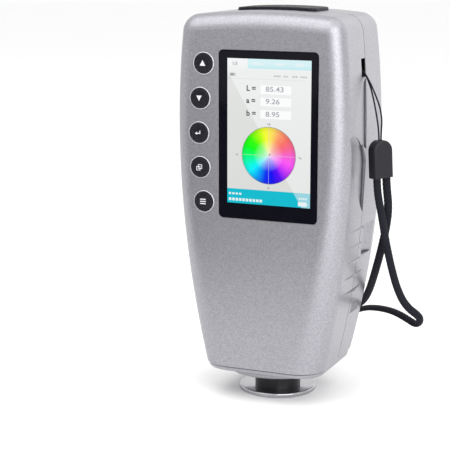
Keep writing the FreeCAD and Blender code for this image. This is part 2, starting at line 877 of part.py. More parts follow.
def make_base_plate():
    rim_form = casing_form(base_inset)
    plate = rim_form.common(slab_z(base_floor_bottom, front_shell_bottom))
    lowest = [edge for edge in plate.Edges if edge.BoundBox.ZMax < base_floor_bottom + fit_gap]
    plate = plate.makeFillet(base_edge, lowest)
    rear_wall = rim_form.cut(casing_form(base_inset + wall))
    rear_wall = rear_wall.common(slab_z(front_shell_bottom, rear_shell_bottom))
    rear_wall = rear_wall.common(slab_y(seam_y + seat_gap, reach_y))
    boss = rod(boss_radius, (0, 0, boss_bottom), (0, 0, front_shell_bottom))
    lowest = [edge for edge in boss.Edges if edge.BoundBox.ZMax < boss_bottom + fit_gap]
    boss = boss.makeFillet(boss_round, lowest)
    pillars = []
    for y in pillar_ys:
        pillar = rod(pillar_radius, (pillar_x, y, front_shell_bottom),
                     (pillar_x, y, side_board_top - side_board))
        pillars += [pillar, mirrored(pillar)]
    plate = plate.fuse([rear_wall, boss] + pillars)
    rebate = outer_form.cut(casing_form(base_inset + base_seam_depth))
    front_rebate = rebate.common(slab_y(-reach_y, seam_y + seat_gap))
    rear_rebate = rebate.common(slab_y(seam_y + seat_gap, reach_y))
    cutters = [
        front_rebate.common(slab_z(front_shell_bottom - base_seam, front_shell_bottom)),
        rear_rebate.common(slab_z(rear_shell_bottom - base_seam, rear_shell_bottom)),
        rod(neck_radius + fit_gap, (0, 0, 0), (0, 0, reach_z)),
        rod(neck_collar_radius + fit_gap, (0, 0, front_shell_bottom - neck_collar), (0, 0, reach_z)),
    ]
    for x, y in base_screw_places:
        cutters.append(rod(shell_screw_radius + fit_gap, (x, y, 0), (x, y, reach_z)))
        cutters.append(rod(shell_screw_bore, (x, y, 0), (x, y, front_shell_bottom - base_screw_seat)))
        if y > seam_y:
            cutters.append(rod(base_post_radius + small_gap, (x, y, front_shell_bottom), (x, y, reach_z)))
    for x, y in circle_places(sphere_foot_screw_circle, sphere_screw_count, sphere_foot_screw_start):
        cutters.append(rod(screw_radius + fit_gap, (x, y, base_floor_bottom), (x, y, front_shell_bottom)))
    for side in (-1, 1):
        for y in pillar_ys:
            x = side * pillar_x
            cutters.append(rod(screw_radius + fit_gap, (x, y, side_board_top - side_board - screw_length),
                               (x, y, side_board_top)))
    return plate.cut(cutters)


def circle_places(radius, count, start):
    """Places spread evenly round the measuring axis."""
    step = 360 / count
    angles = [math.radians(start + step * index) for index in range(count)]
    return [(radius * math.cos(angle), radius * math.sin(angle)) for angle in angles]


def make_port():
    """Neck that carries the port, and the flange that lies on the sample."""
    neck = rod(neck_radius, (0, 0, flange_thickness), (0, 0, front_shell_bottom))
    collar = rod(neck_collar_radius, (0, 0, front_shell_bottom - neck_collar), (0, 0, front_shell_bottom))
    neck = neck.fuse(collar).cut(rod(neck_bore, (0, 0, 0), (0, 0, reach_z)))
    flange = rod(flange_radius, (0, 0, 0), (0, 0, flange_thickness))
    lower = [edge for edge in flange.Edges if edge.BoundBox.ZMax < fit_gap]
    flange = flange.makeChamfer(flange_edge, lower)
    upper = [edge for edge in flange.Edges if edge.BoundBox.ZMin > flange_thickness - fit_gap]
    flange = flange.makeFillet(flange_round, upper)
    spigot = rod(neck_bore - fit_gap, (0, 0, 0), (0, 0, flange_thickness + spigot_height))
    spigot = spigot.cut(rod(spigot_bore, (0, 0, 0), (0, 0, reach_z)))
    spigot = spigot.common(slab_z(flange_thickness, reach_z))
    flange = flange.fuse(spigot).cut(rod(aperture_radius, (0, 0, 0), (0, 0, flange_thickness)))
    return neck, flange


# Display

def make_display():
    front = -front_depth - window_proud
    window = upright_plate(window_x, window_z, window_width, window_height, window_corner,
                           front, front + window_thickness)
    gasket_y = inner_front + gasket_thickness
    gasket = upright_plate(active_x, active_z, active_width + 2 * gasket_rim, active_height + 2 * gasket_rim,
                           window_corner, inner_front, gasket_y)
    hole = upright_plate(active_x, active_z,
                         active_width + 2 * gasket_margin, active_height + 2 * gasket_margin,
                         window_corner, inner_front, gasket_y)
    panel = upright_plate(window_x, panel_z, panel_width, panel_height, window_corner / 2,
                          gasket_y, gasket_y + panel_thickness)
    pads = []
    for side in (-1, 1):
        x = window_x + side * pad_offset
        pads.append(box(x - pad_width / 2, x + pad_width / 2, gasket_y + panel_thickness, board_front_y,
                        window_z - pad_height / 2, window_z + pad_height / 2))
    return window, gasket.cut(hole), panel, pads


# Keys

def make_key(x, z):
    """One round key: a dished cap, a flange behind the wall and a stem to its switch."""
    front = -front_depth - key_cap_proud
    cap = post(x, z, key_cap_radius, front, key_flange_front)
    rim = [edge for edge in cap.Edges if edge.BoundBox.YMax < front + fit_gap]
    cap = cap.makeFillet(key_cap_round, rim)
    centre = Vector(x, front + key_cap_dish_depth - key_cap_dish, z)
    cap = cap.cut(Part.makeSphere(key_cap_dish, centre))
    flange = post(x, z, key_flange_radius, key_flange_front, key_flange_front + key_flange)
    stem = post(x, z, key_stem_radius, key_flange_front + key_flange, key_stem_end)
    return cap.fuse([flange, stem])


def make_key_ring(x, z):
    """Thin bright ring round one key."""
    front = -front_depth - key_ring_proud
    back = -front_depth + key_ring_depth
    ring = post(x, z, key_ring_radius, front, back)
    ring = ring.cut(post(x, z, key_ring_radius - key_ring_width, front, back))
    rims = [edge for edge in ring.Edges if edge.BoundBox.YMax < front + fit_gap]
    return ring.makeChamfer(key_ring_width / 4, rims)


def make_key_switch(x, z):
    """Small push switch under one key."""
    case_top = board_front_y - tact_height
    case = box(x - tact_size / 2, x + tact_size / 2, case_top, board_front_y,
               z - tact_size / 2, z + tact_size / 2)
    return case.fuse(post(x, z, tact_plunger_radius, key_plunger_top, case_top + fit_gap))


# Boards

def make_main_board():
    centre_z = (board_bottom + board_top) / 2
    board = upright_plate(0, centre_z, 2 * board_half_width, board_top - board_bottom, board_corner,
                          board_front_y, board_rear_y)
    holes = [post(x, z, screw_radius + fit_gap, board_front_y, board_rear_y) for x, z in board_posts]
    return board.cut(holes)


def make_chips():
    chips = []
    board_width = 2 * board_half_width
    board_height = board_top - board_bottom
    for x_share, z_share, width_share, height_share, depth_share in chip_shares:
        x = x_share * board_width
        z = board_bottom + z_share * board_height
        half_width = width_share * board_width / 2
        half_height = height_share * board_height / 2
        chip_rear_y = board_rear_y + depth_share * board_thickness
        chips.append(box(x - half_width, x + half_width, board_rear_y, chip_rear_y,
                         z - half_height, z + half_height))
    return chips


def board_screw(seat, direction):
    """Small board screw."""
    return screw(seat, direction, screw_radius, screw_head_radius, screw_head, screw_length - small_gap)


# Measure key

def shelf_screw_places():
    """Screws of the small board under the measure key."""
    places = []
    for side in (-1, 1):
        for way in (-1, 1):
            places.append((side * shelf_x, measure_y + way * shelf_screw_reach))
    return places


def make_measure_key():
    plate = measure_opening(0).common(casing_form(-measure_proud))
    top = max(plate.Faces, key=lambda face: face.CenterOfMass.z)
    plate = plate.makeFillet(measure_edge, top.Edges)
    flange = flat_plate(0, measure_y, measure_width + 2 * measure_flange_margin,
                        measure_depth + 2 * measure_flange_margin, measure_corner,
                        measure_flange_top - measure_flange, measure_flange_top)
    stem = rod(measure_stem_radius, (0, measure_y, measure_stem_end), (0, measure_y, measure_flange_top))
    return plate.fuse([flange, stem])


def make_measure_switch():
    half = measure_switch_size / 2
    case_top = measure_board_top + measure_switch_height
    case = box(-half, half, measure_y - half, measure_y + half, measure_board_top, case_top)
    plunger = rod(measure_plunger_radius, (0, measure_y, case_top - fit_gap),
                  (0, measure_y, measure_plunger_top))
    return case.fuse(plunger)


def make_measure_board():
    board = flat_plate(0, measure_y, measure_board_width, measure_board_depth, board_corner,
                       measure_board_top - board_thickness, measure_board_top)
    holes = [rod(screw_radius + fit_gap, (x, y, 0), (x, y, reach_z)) for x, y in shelf_screw_places()]
    return board.cut(holes)


# Optics

def viewing_point(distance):
    """Point on the tilted viewing axis, at a distance from the sphere's centre."""
    angle = math.radians(viewing_angle)
    return (distance * math.sin(angle), 0, sphere_z + distance * math.cos(angle))


def make_sphere():
    """Lower and upper halves of the integrating sphere."""
    ball = Part.makeSphere(sphere_outer, Vector(0, 0, sphere_z))
    hollow = Part.makeSphere(sphere_inner, Vector(0, 0, sphere_z))
    foot = rod(sphere_foot_radius, (0, 0, front_shell_bottom), (0, 0, front_shell_bottom + sphere_foot))
    low_rim = rod(sphere_rim_radius, (0, 0, sphere_z - sphere_rim), (0, 0, sphere_z))
    high_rim = rod(sphere_rim_radius, (0, 0, sphere_z), (0, 0, sphere_z + sphere_rim))
    pad = rod(sphere_pad_radius, (0, 0, sphere_z), (0, 0, sphere_z + sphere_pad_top))
    boss = rod(barrel_boss_radius, (0, 0, sphere_z), viewing_point(barrel_boss_reach))
    low = ball.fuse([foot, low_rim]).common(slab_z(front_shell_bottom, sphere_z))
    high = ball.fuse([high_rim, pad, boss]).common(slab_z(sphere_z, reach_z))
    low_cutters = [hollow, rod(neck_bore, (0, 0, 0), (0, 0, sphere_z))]
    viewing_hole = rod(barrel_radius + fit_gap, (0, 0, sphere_z), viewing_point(2 * barrel_boss_reach))
    high_cutters = [hollow, viewing_hole]
    for x, y in circle_places(lamp_circle, lamp_count, lamp_start):
        high_cutters.append(rod(lamp_radius + fit_gap, (x, y, sphere_z), (x, y, reach_z)))
    for x, y in circle_places(sphere_foot_screw_circle, sphere_screw_count, sphere_foot_screw_start):
        low_cutters.append(rod(screw_radius + fit_gap, (x, y, 0), (x, y, sphere_z - sphere_rim)))
        low_cutters.append(rod(screw_head_radius + fit_gap, (x, y, front_shell_bottom + sphere_foot),
                               (x, y, front_shell_bottom + sphere_foot + screw_head + small_gap)))
    for x, y in circle_places(sphere_rim_screw_circle, sphere_screw_count, sphere_rim_screw_start):
        hole = rod(rim_screw_radius + fit_gap, (x, y, sphere_z - sphere_rim), (x, y, sphere_z + sphere_rim))
        low_cutters.append(hole)
        high_cutters.append(hole)
    return low.cut(low_cutters), high.cut(high_cutters)


def make_sphere_screws():
    screws = []
    for x, y in circle_places(sphere_foot_screw_circle, sphere_screw_count, sphere_foot_screw_start):
        screws.append(screw((x, y, front_shell_bottom + sphere_foot), (0, 0, -1), screw_radius,
                            screw_head_radius, screw_head, sphere_foot + base_rim - small_gap))
    for x, y in circle_places(sphere_rim_screw_circle, sphere_screw_count, sphere_rim_screw_start):
        screws.append(screw((x, y, sphere_z + sphere_rim), (0, 0, -1), rim_screw_radius,
                            rim_screw_head_radius, rim_screw_head, 2 * sphere_rim - small_gap))
    return screws


def make_lamps():
    """Ring board on top of the sphere and the lamps that shine down into it."""
    board_z = sphere_z + sphere_pad_top
    board = rod(sphere_pad_radius, (0, 0, board_z), (0, 0, board_z + lamp_board))
    boss_end = viewing_point(2 * barrel_boss_reach)
    board = board.cut(rod(barrel_boss_radius + small_gap, (0, 0, sphere_z), boss_end))
    lamps = []
    for x, y in circle_places(lamp_circle, lamp_count, lamp_start):
        lamps.append(rod(lamp_radius, (x, y, board_z - lamp_length), (x, y, board_z)))
    return board, lamps


def make_sensor():
    """Tilted barrel, its lens and the sensor board across its end."""
    end = barrel_start + barrel_length
    barrel = rod(barrel_radius, viewing_point(barrel_start), viewing_point(end))
    bore = barrel_radius - barrel_wall
    barrel = barrel.cut(rod(bore, viewing_point(barrel_start), viewing_point(end)))
    lens = rod(bore - fit_gap, viewing_point(barrel_start + lens_thickness),
               viewing_point(barrel_start + 2 * lens_thickness))
    half = sensor_board_size / 2
    board = box(-half, half, -half, half, end, end + board_thickness)
    half = sensor_chip_size / 2
    chip = box(-half, half, -half, half, end + board_thickness, end + 2 * board_thickness)
    board = board.fuse(chip)
    board.Placement = Placement(Vector(0, 0, sphere_z), Rotation(Vector(0, 1, 0), viewing_angle))
    return barrel, lens, board


# Battery

def make_battery():
    """Pack in its bay, three contacts under it and the door behind it."""
    pack_height = bay_height - 2 * pack_clearance - contact_height
    pack_floor = bay_floor + pack_clearance
    pack = upright_plate(0, door_z, bay_width - 2 * pack_clearance, pack_height,
                         pack_corner, pack_floor, pack_floor + pack_thickness)
    pack.translate(Vector(0, 0, contact_height / 2))
    contacts = []
    low = door_z - bay_height / 2
    for index in (-1, 0, 1):
        x = index * contact_pitch
        contacts.append(box(x - contact_width / 2, x + contact_width / 2,
                            contact_y, contact_y + contact_reach,
                            low, low + contact_height))
    door = battery_prism(door_width, door_height, door_corner, bay_floor)
    door = door.common(outer_form).cut(casing_form(wall - seat_gap))
    grip_z = door_z + door_height / 2 - 2 * door_grip_radius
    grip_y = rear_y(grip_z) - door_grip_depth + door_grip_radius
    grip = rod(door_grip_radius, (-door_grip_width / 2, grip_y, grip_z),
               (door_grip_width / 2, grip_y, grip_z))
    return pack, contacts, door.cut(grip)


def rear_y(z):
    """Depth of the casing's back at a height."""
    return rear_depth - back_radius + math.sqrt(back_radius ** 2 - (z - back_height) ** 2)


# Side port and power switch

def make_port_cover():
    gap = port_cover_gap
    plate = side_box(-port_recess + fit_gap, -fit_gap, port_y - port_length / 2 + gap,
                     port_y + port_length / 2 - gap, -port_height / 2 + gap, port_height / 2 - gap)
    margin = port_plug_margin
    plug = side_box(-port_recess - port_plug, -port_recess + fit_gap,
                    port_y - port_mouth_length / 2 + margin,
                    port_y + port_mouth_length / 2 - margin, -port_mouth_height / 2 + margin,
                    port_mouth_height / 2 - margin)
    return plate.fuse(plug).removeSplitter()


def make_side_board():
    board = box(side_board_inner_x, side_board_outer_x, side_board_y0, side_board_y1,
                side_board_top - side_board, side_board_top)
    holes = [rod(screw_radius + fit_gap, (pillar_x, y, 0), (pillar_x, y, reach_z)) for y in pillar_ys]
    return board.cut(holes)


def make_socket():
    case = box(socket_reach - socket_depth, socket_reach,
               port_y - socket_width / 2, port_y + socket_width / 2,
               side_board_top, side_board_top + socket_height)
    mouth = box(socket_reach - socket_depth + 2 * socket_wall, socket_reach,
                port_y - socket_width / 2 + socket_wall, port_y + socket_width / 2 - socket_wall,
                side_board_top + socket_wall, side_board_top + socket_height - socket_wall)
    tongue_z = side_board_top + socket_height / 2
    tongue = box(socket_reach - socket_depth + socket_wall, socket_reach - 2 * socket_wall,
                 port_y - socket_width / 4, port_y + socket_width / 4,
                 tongue_z - socket_wall, tongue_z + socket_wall)
    return case.cut(mouth).fuse(tongue)


def make_power_switch():
    """Body of the slide switch on the left side, and the slider that a finger moves."""
    body = box(socket_reach - switch_depth, socket_reach,
               port_y - switch_length / 2, port_y + switch_length / 2,
               side_board_top, side_board_top + switch_height)
    rest_y = port_y - slider_travel / 2
    slider = side_box(-overrun / 2, -fit_gap, rest_y - slider_length / 2, rest_y + slider_length / 2,
                      -slider_height / 2, slider_height / 2)
    front = socket_reach + seat_gap
    slider = slider.common(box(front, reach_x, -reach_y, reach_y, 0, reach_z))
    return mirrored(body), mirrored(slider)


# Strap

def cord(name, route, radius):
    """Round cord along a route: straight runs joined by tangent arcs."""
    points = [Vector(*point) for point in route]
    edges = []
    start = points[0]
    radii = []
    for before, here, after in zip(points, points[1:], points[2:]):
        back = before - here
        ahead = after - here
        shorter = min(back.Length, ahead.Length)
        turn = math.pi - back.getAngle(ahead)
        cut_back = bend_share * shorter
        bend = cut_back / math.tan(turn / 2)
        radii.append(round(bend, 1))
        way_in = back.normalize()
        way_out = ahead.normalize()
        first = here + way_in * cut_back
        last = here + way_out * cut_back
        inward = (way_in + way_out).normalize()
        to_centre = math.hypot(bend, cut_back)
        middle = here + inward * (to_centre - bend)
        edges.append(Part.LineSegment(start, first).toShape())
        edges.append(Part.Arc(first, middle, last).toShape())
        start = last
    edges.append(Part.LineSegment(start, points[-1]).toShape())
    path = Part.Wire(edges)
    away = points[1] - points[0]
    section = Part.Wire([Part.Circle(points[0], away, radius).toShape()])
    tube = path.makePipeShell([section], True, True)
    share = tube.Volume / (math.pi * radius ** 2 * path.Length)
    print(f"{name} length {path.Length:.1f} mm, radii {radii}, volume share {share:.4f}")
    return tube


def make_ferrule():
    """Flat moulded end piece with an arched top, turned about the strap."""
    half = ferrule_width / 2
    low = Vector(half, 0, ferrule_bottom)
    spring = Vector(half, 0, ferrule_top + ferrule_flat - half)
    crown = Vector(0, 0, ferrule_top + ferrule_flat)

    def left(point):
        return Vector(-point.x, point.y, point.z)

    outline = Part.Wire([
        Part.LineSegment(left(low), low).toShape(),
        Part.LineSegment(low, spring).toShape(),
        Part.Arc(spring, crown, left(spring)).toShape(),
        Part.LineSegment(left(spring), left(low)).toShape(),
    ])
    block = Part.Face(outline).extrude(Vector(0, ferrule_thickness, 0))
    block.translate(Vector(0, -ferrule_thickness / 2, 0))
    faces = [face for face in block.Faces if face.BoundBox.YLength < fit_gap]
    rims = []
    for face in faces:
        rims += [edge for edge in face.Edges if edge.BoundBox.ZMax > ferrule_bottom + fit_gap]
    block = block.makeFillet(ferrule_edge, rims)
    block = block.common(slab_z(ferrule_bottom, ferrule_top))
    middle = (ferrule_bottom + ferrule_top) / 2
    block.translate(Vector(0, 0, -middle))
    leaning = Rotation(Vector(0, 0, 1), ferrule_turn).multiply(Rotation(Vector(0, 1, 0), ferrule_tilt))
    block.Placement = Placement(Vector(ferrule_x, ferrule_y, middle), leaning).multiply(block.Placement)
    return block


# Write every node

def write_casing():
    save("front_shell", make_front_shell())
    save("rear_shell", make_rear_shell())
    save("base_plate", make_base_plate())
    neck, flange = make_port()
    save("port_neck", neck)
    save("port_flange", flange)
    shell_screws = []
    for x, z in shell_posts:
        seat = (x, seam_y + shell_screw_seat, z)
        shell_screws.append(screw(seat, (0, -1, 0), shell_screw_radius, shell_screw_head_radius,
                                  shell_screw_head, shell_screw_length))
    save("shell_screws", *shell_screws)
    base_screws = []
    for x, y in base_screw_places:
        base_screws.append(screw((x, y, front_shell_bottom - base_screw_seat), (0, 0, 1), shell_screw_radius,
                                 shell_screw_head_radius, base_rim - base_screw_seat - seat_gap,
                                 base_post_height - wall))
    save("base_screws", *base_screws)


def write_display_and_keys():
    window, gasket, panel, pads = make_display()
    save("display_window", window)
    save("display_gasket", gasket)
    save("display_panel", panel)
    save("display_pads", *pads)
    for name, place in key_places.items():
        save(name, make_key(*place))
    save("key_rings", *[make_key_ring(*place) for place in key_places.values()])
    save("key_switches", *[make_key_switch(*place) for place in key_places.values()])


def write_boards():
    save("main_board", make_main_board())
    save("board_chips", *make_chips())
    save("buzzer", post(buzzer_x, buzzer_z, buzzer_radius, board_rear_y, board_rear_y + buzzer_height))
    screws = [board_screw((x, board_rear_y, z), (0, -1, 0)) for x, z in board_posts]
    screws += [board_screw((x, y, measure_board_top), (0, 0, -1)) for x, y in shelf_screw_places()]
    for side in (-1, 1):
        screws += [board_screw((side * pillar_x, y, side_board_top), (0, 0, -1)) for y in pillar_ys]
    save("board_screws", *screws)


def write_measure_key():
    save("measure_key", make_measure_key())
    save("measure_switch", make_measure_switch())
    save("measure_board", make_measure_board())


def write_optics():
    low, high = make_sphere()
    save("sphere_lower", low)
    save("sphere_upper", high)
    save("sphere_screws", *make_sphere_screws())
    board, lamps = make_lamps()
    save("lamp_board", board)
    save("lamps", *lamps)
    barrel, lens, sensor_board = make_sensor()
    save("sensor_barrel", barrel)
    save("sensor_lens", lens)
    save("sensor_board", sensor_board)


def write_power():
    pack, contacts, door = make_battery()
    save("battery_pack", pack)
    save("battery_contacts", *contacts)
    save("battery_door", door)
    save("port_cover", make_port_cover())
    save("port_board", make_side_board())
    save("port_socket", make_socket())
    body, slider = make_power_switch()
    save("switch_board", mirrored(make_side_board()))
    save("switch_body", body)
    save("power_slider", slider)


def write_strap():
    save("strap_bar", strap_bar(0))
    save("strap_string", cord("string", string_route, string_radius))
    save("strap_ferrule", make_ferrule())
    save("wrist_loop", cord("loop", loop_route, loop_radius))


write_casing()
write_display_and_keys()
write_boards()
write_measure_key()
write_optics()
write_power()
write_strap()
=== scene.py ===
import json
import math

import bpy
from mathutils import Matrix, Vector


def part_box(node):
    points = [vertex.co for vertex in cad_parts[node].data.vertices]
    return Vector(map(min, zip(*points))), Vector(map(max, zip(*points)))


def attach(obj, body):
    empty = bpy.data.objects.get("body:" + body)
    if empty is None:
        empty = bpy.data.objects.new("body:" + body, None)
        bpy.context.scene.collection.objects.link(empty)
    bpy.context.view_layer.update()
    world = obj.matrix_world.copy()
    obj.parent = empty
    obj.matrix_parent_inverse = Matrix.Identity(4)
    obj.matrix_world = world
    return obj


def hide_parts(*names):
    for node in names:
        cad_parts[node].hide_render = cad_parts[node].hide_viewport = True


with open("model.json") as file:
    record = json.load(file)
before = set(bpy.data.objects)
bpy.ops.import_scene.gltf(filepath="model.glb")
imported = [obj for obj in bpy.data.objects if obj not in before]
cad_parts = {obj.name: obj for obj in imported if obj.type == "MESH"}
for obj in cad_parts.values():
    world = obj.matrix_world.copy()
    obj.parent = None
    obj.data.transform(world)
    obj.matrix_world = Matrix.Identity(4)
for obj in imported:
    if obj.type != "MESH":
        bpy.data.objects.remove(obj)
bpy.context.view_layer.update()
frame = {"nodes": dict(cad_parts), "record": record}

MM = 0.001

# Camera, in metres and degrees
CAMERA_PLACE = (0.27021, -0.69735, 0.24011)
CAMERA_YAW = 23.40
CAMERA_PITCH = 11.33
CAMERA_LENS = 113.70
SENSOR_WIDTH = 36.0
CLIP_NEAR = 0.05
CLIP_FAR = 60.0

# Studio: the world is bright behind the object and dimmer behind the camera
STUDIO_BRIGHT_WAY = (0.30, 0.90, 0.30)
STUDIO_TURN = 0.7
STUDIO_DIM = 0.36
STUDIO_BRIGHT = 0.95
SKY_WAY = (-0.30, 0.10, -0.95)
SKY_ENERGY = 0.8
SKY_SPREAD = 80.0

# Area lamps: place, the point that they face, width, height and power
LAMPS = (
    ("edge_light", (0.58, -0.56, 0.42), (0, 0, 0.11), 0.8, 0.85, 4.8),
    ("side_light", (0.60, 1.15, 0.45), (0, 0, 0.11), 1.5, 1.5, 2.8),
    ("top_light", (-0.42, -0.50, 1.10), (0, 0, 0.15), 1.2, 1.2, 6.0),
)

# Floor, and the dark card that lies on it: its direction from the object and its reach along it
FLOOR_REACH = 12.0
CARD_TURN = -113.0
CARD_WIDTH = 0.75
CARD_NEAR = 0.28
CARD_FAR = 1.5
CARD_LIFT = 0.00005

# Strap routes in metres, and the step between the rings of their tubes
STRING_DIAMETER = 0.0009
STRING_PITCH = 0.0030
STRING_RELIEF = 0.16
STRING_STEP = 0.00028
STRING_ROUTE = (
    (0.05460, 0.00060, 0.13900),
    (0.05440, 0.00050, 0.14320),
    (0.05370, 0.00040, 0.14880),
    (0.05240, 0.00030, 0.15550),
    (0.05110, 0.00010, 0.16130),
    (0.04990, -0.00010, 0.16590),
    (0.04860, -0.00030, 0.16940),
    (0.04680, -0.00050, 0.17300),
    (0.04160, -0.00060, 0.17230),
    (0.04140, -0.00140, 0.17570),
    (0.04460, -0.00160, 0.17570),
    (0.04690, -0.00170, 0.17360),
    (0.04940, -0.00160, 0.16970),
    (0.05150, -0.00150, 0.16560),
    (0.05360, -0.00120, 0.16070),
    (0.05540, -0.00060, 0.15540),
    (0.05610, 0.00030, 0.14920),
    (0.05540, 0.00140, 0.14320),
    (0.05540, 0.00160, 0.13905),
)
LOOP_HALF_WIDTH = 0.00225
LOOP_HALF_DEPTH = 0.00155
LOOP_STRANDS = 12
LOOP_STRAND_LENGTH = 0.0011
LOOP_RELIEF = 0.09
LOOP_STEP = 0.00030
LOOP_ROUTE = (
    (0.05410, 0.00000, 0.11945),
    (0.05430, 0.00030, 0.11400),
    (0.05520, 0.00040, 0.10790),
    (0.05680, 0.00050, 0.10060),
    (0.05880, 0.00080, 0.08910),
    (0.06160, 0.00260, 0.07400),
    (0.06460, 0.00650, 0.05940),
    (0.06840, 0.01100, 0.04950),
    (0.07560, 0.01560, 0.04310),
    (0.07280, 0.01960, 0.03720),
    (0.06380, 0.02400, 0.04030),
    (0.05590, 0.02900, 0.04150),
    (0.04690, 0.03550, 0.04070),
    (0.03730, 0.04350, 0.03830),
    (0.02970, 0.04960, 0.03480),
    (0.02490, 0.04260, 0.03380),
    (0.02960, 0.03790, 0.03820),
    (0.03590, 0.03860, 0.04290),
    (0.04230, 0.02900, 0.05230),
    (0.05030, 0.01400, 0.06780),
    (0.05530, 0.00760, 0.08180),
    (0.05820, 0.00600, 0.09440),
    (0.05910, 0.00540, 0.10420),
    (0.05800, 0.00460, 0.11430),
    (0.05780, 0.00440, 0.11978),
)
FERRULE_TURN = 50.0
CURVE_STEPS = 16

# Marks on the dished faces of the keys
KEY_DISH_RADIUS = 26.0 * MM
KEY_DISH_DEPTH = 0.45 * MM
SYMBOL_PROUD = 0.09 * MM
SYMBOL_THICKNESS = 0.10 * MM
SYMBOL_SHIFT = -0.35 * MM

# Display picture: its edges and the places on it, in millimetres of the casing's front view
SCREEN_LEFT = -16.75
SCREEN_RIGHT = 28.75
SCREEN_LOW = 106.85
SCREEN_HIGH = 181.45
WHEEL_X = 6.1
WHEEL_Z = 132.5
WHEEL_RADIUS = 14.75
WHEEL_RIM = (14.55, 14.80)
WHEEL_STEPS = 64
WHEEL_AXIS = 0.06
DOT_X = 6.55
DOT_Z = 133.1
DOT_RADIUS = 0.45
HEADER_BOTTOM = 176.5
TAB_RIGHT = -5.6
FOOTER_TOP = 114.4
RULE = (171.15, 171.45)
RULE_RIGHT = 26.0
BOXES = ((163.9, 168.3), (157.8, 162.1), (151.4, 155.7))
BOX_LEFT = 1.5
BOX_RIGHT = 18.1
# Painted reflection: where the pale diagonal sheen of glare lies on the display picture
SHEEN_SLOPE = 0.603
SHEEN_TOP = 171.0
SHEEN_LEFT = -14.5
SHEEN_EDGE = 0.15

# The picture lies just in front of the window, and its marks in layers before it
PICTURE_GAP = 0.02 * MM
LAYER = 0.015 * MM


# Node helpers

class Shader:
    """A material with one Principled shader, and short ways to add nodes to it."""

    def __init__(self, name):
        self.material = bpy.data.materials.new(name)
        self.material.use_nodes = True
        self.nodes = self.material.node_tree.nodes
        self.links = self.material.node_tree.links
        self.shader = self.nodes["Principled BSDF"]

    def add(self, kind, **settings):
        node = self.nodes.new(kind)
        for key, value in settings.items():
            setattr(node, key, value)
        return node

    def link(self, source, target):
        self.links.new(source, target)

    def set(self, **sockets):
        for name, value in sockets.items():
            self.shader.inputs[name.replace("_", " ")].default_value = value

    def place(self):
        """Position on the object in metres."""
        found = self.nodes.get("place")
        if found is None:
            found = self.add("ShaderNodeTexCoord", name="place")
        return found.outputs["Object"]

    def noise(self, scale, detail=2.0, source=None):
        node = self.add("ShaderNodeTexNoise")
        node.inputs["Scale"].default_value = scale
        node.inputs["Detail"].default_value = detail
        self.link(source or self.place(), node.inputs["Vector"])
        return node.outputs["Fac"]

    def cells(self, scale):
        """Random colour for each small cell."""
        node = self.add("ShaderNodeTexVoronoi")
        node.inputs["Scale"].default_value = scale
        self.link(self.place(), node.inputs["Vector"])
        return node.outputs["Color"]

    def crease_shade(self):
        """1 deep in narrow grooves and corners, which get painted shade, and 0 on open faces."""
        node = self.add("ShaderNodeAmbientOcclusion", samples=6)
        node.inputs["Distance"].default_value = 1.5 * MM
        return self.ranged(node.outputs["AO"], 1.0, 0.0, 0.40, 0.93)

    def ranged(self, value, low, high, start=0.0, end=1.0):
        node = self.add("ShaderNodeMapRange")
        node.inputs["From Min"].default_value = start
        node.inputs["From Max"].default_value = end
        node.inputs["To Min"].default_value = low
        node.inputs["To Max"].default_value = high
        self.link(value, node.inputs["Value"])
        return node.outputs["Result"]

    def math(self, operation, first, second=None):
        node = self.add("ShaderNodeMath", operation=operation)
        for index, value in enumerate((first, second)):
            if value is None:
                continue
            if isinstance(value, (int, float)):
                node.inputs[index].default_value = value
            else:
                self.link(value, node.inputs[index])
        return node.outputs[0]

    def mix(self, factor, first, second):
        node = self.add("ShaderNodeMix", data_type="RGBA")
        for socket, value in (("Factor", factor), ("A", first), ("B", second)):
            target = [s for s in node.inputs if s.name == socket and s.enabled][0]
            if isinstance(value, (int, float)):
                target.default_value = value
            elif isinstance(value, tuple):
                target.default_value = (*value, 1.0)
            else:
                self.link(value, target)
        return [s for s in node.outputs if s.enabled][0]

    def bump(self, height, strength, distance, normal=None):
        node = self.add("ShaderNodeBump")
        node.inputs["Strength"].default_value = strength
        node.inputs["Distance"].default_value = distance
        self.link(height, node.inputs["Height"])
        if normal is not None:
            self.link(normal, node.inputs["Normal"])
        return node.outputs["Normal"]

    def color(self, value):
        self.link(value, self.shader.inputs["Base Color"])

    def roughness(self, value):
        self.link(value, self.shader.inputs["Roughness"])

    def normal(self, value):
        self.link(value, self.shader.inputs["Normal"])


def shade(colour, factor):
    return tuple(min(1.0, channel * factor) for channel in colour)


def plain_material(name, colour, roughness, spread=0.06, mottle=0.10, mottle_scale=300.0,
                   grain_scale=2500.0, grain=0.15, grain_depth=0.00004, **sockets):
    """Moulded or metal surface: mottled colour, uneven gloss and a fine grain."""
    s = Shader(name)
    s.set(**sockets)
    patches = s.noise(mottle_scale, 3.0)
    s.color(s.mix(patches, shade(colour, 1 - mottle), shade(colour, 1 + mottle)))
    s.roughness(s.ranged(patches, roughness - spread, roughness + spread, 0.3, 0.7))
    s.normal(s.bump(s.noise(grain_scale), grain, grain_depth))
    return s.material


def pocket_shade(s):
    """1 in the strap pocket, whose walls get near-black painted shade."""
    parts = s.add("ShaderNodeSeparateXYZ")
    s.link(s.place(), parts.inputs[0])
    x, y, z = (s.math("MULTIPLY", parts.outputs[axis], 1000.0) for axis in "XYZ")
    slanted = s.math("ADD", x, s.math("MULTIPLY", z, 0.067))
    behind = inside(s, slanted, 51.2, 57.6)
    across = s.math("MULTIPLY", inside(s, y, -4.7, 2.1), inside(s, z, 171.5, 181.1))
    return s.math("MULTIPLY", behind, across)


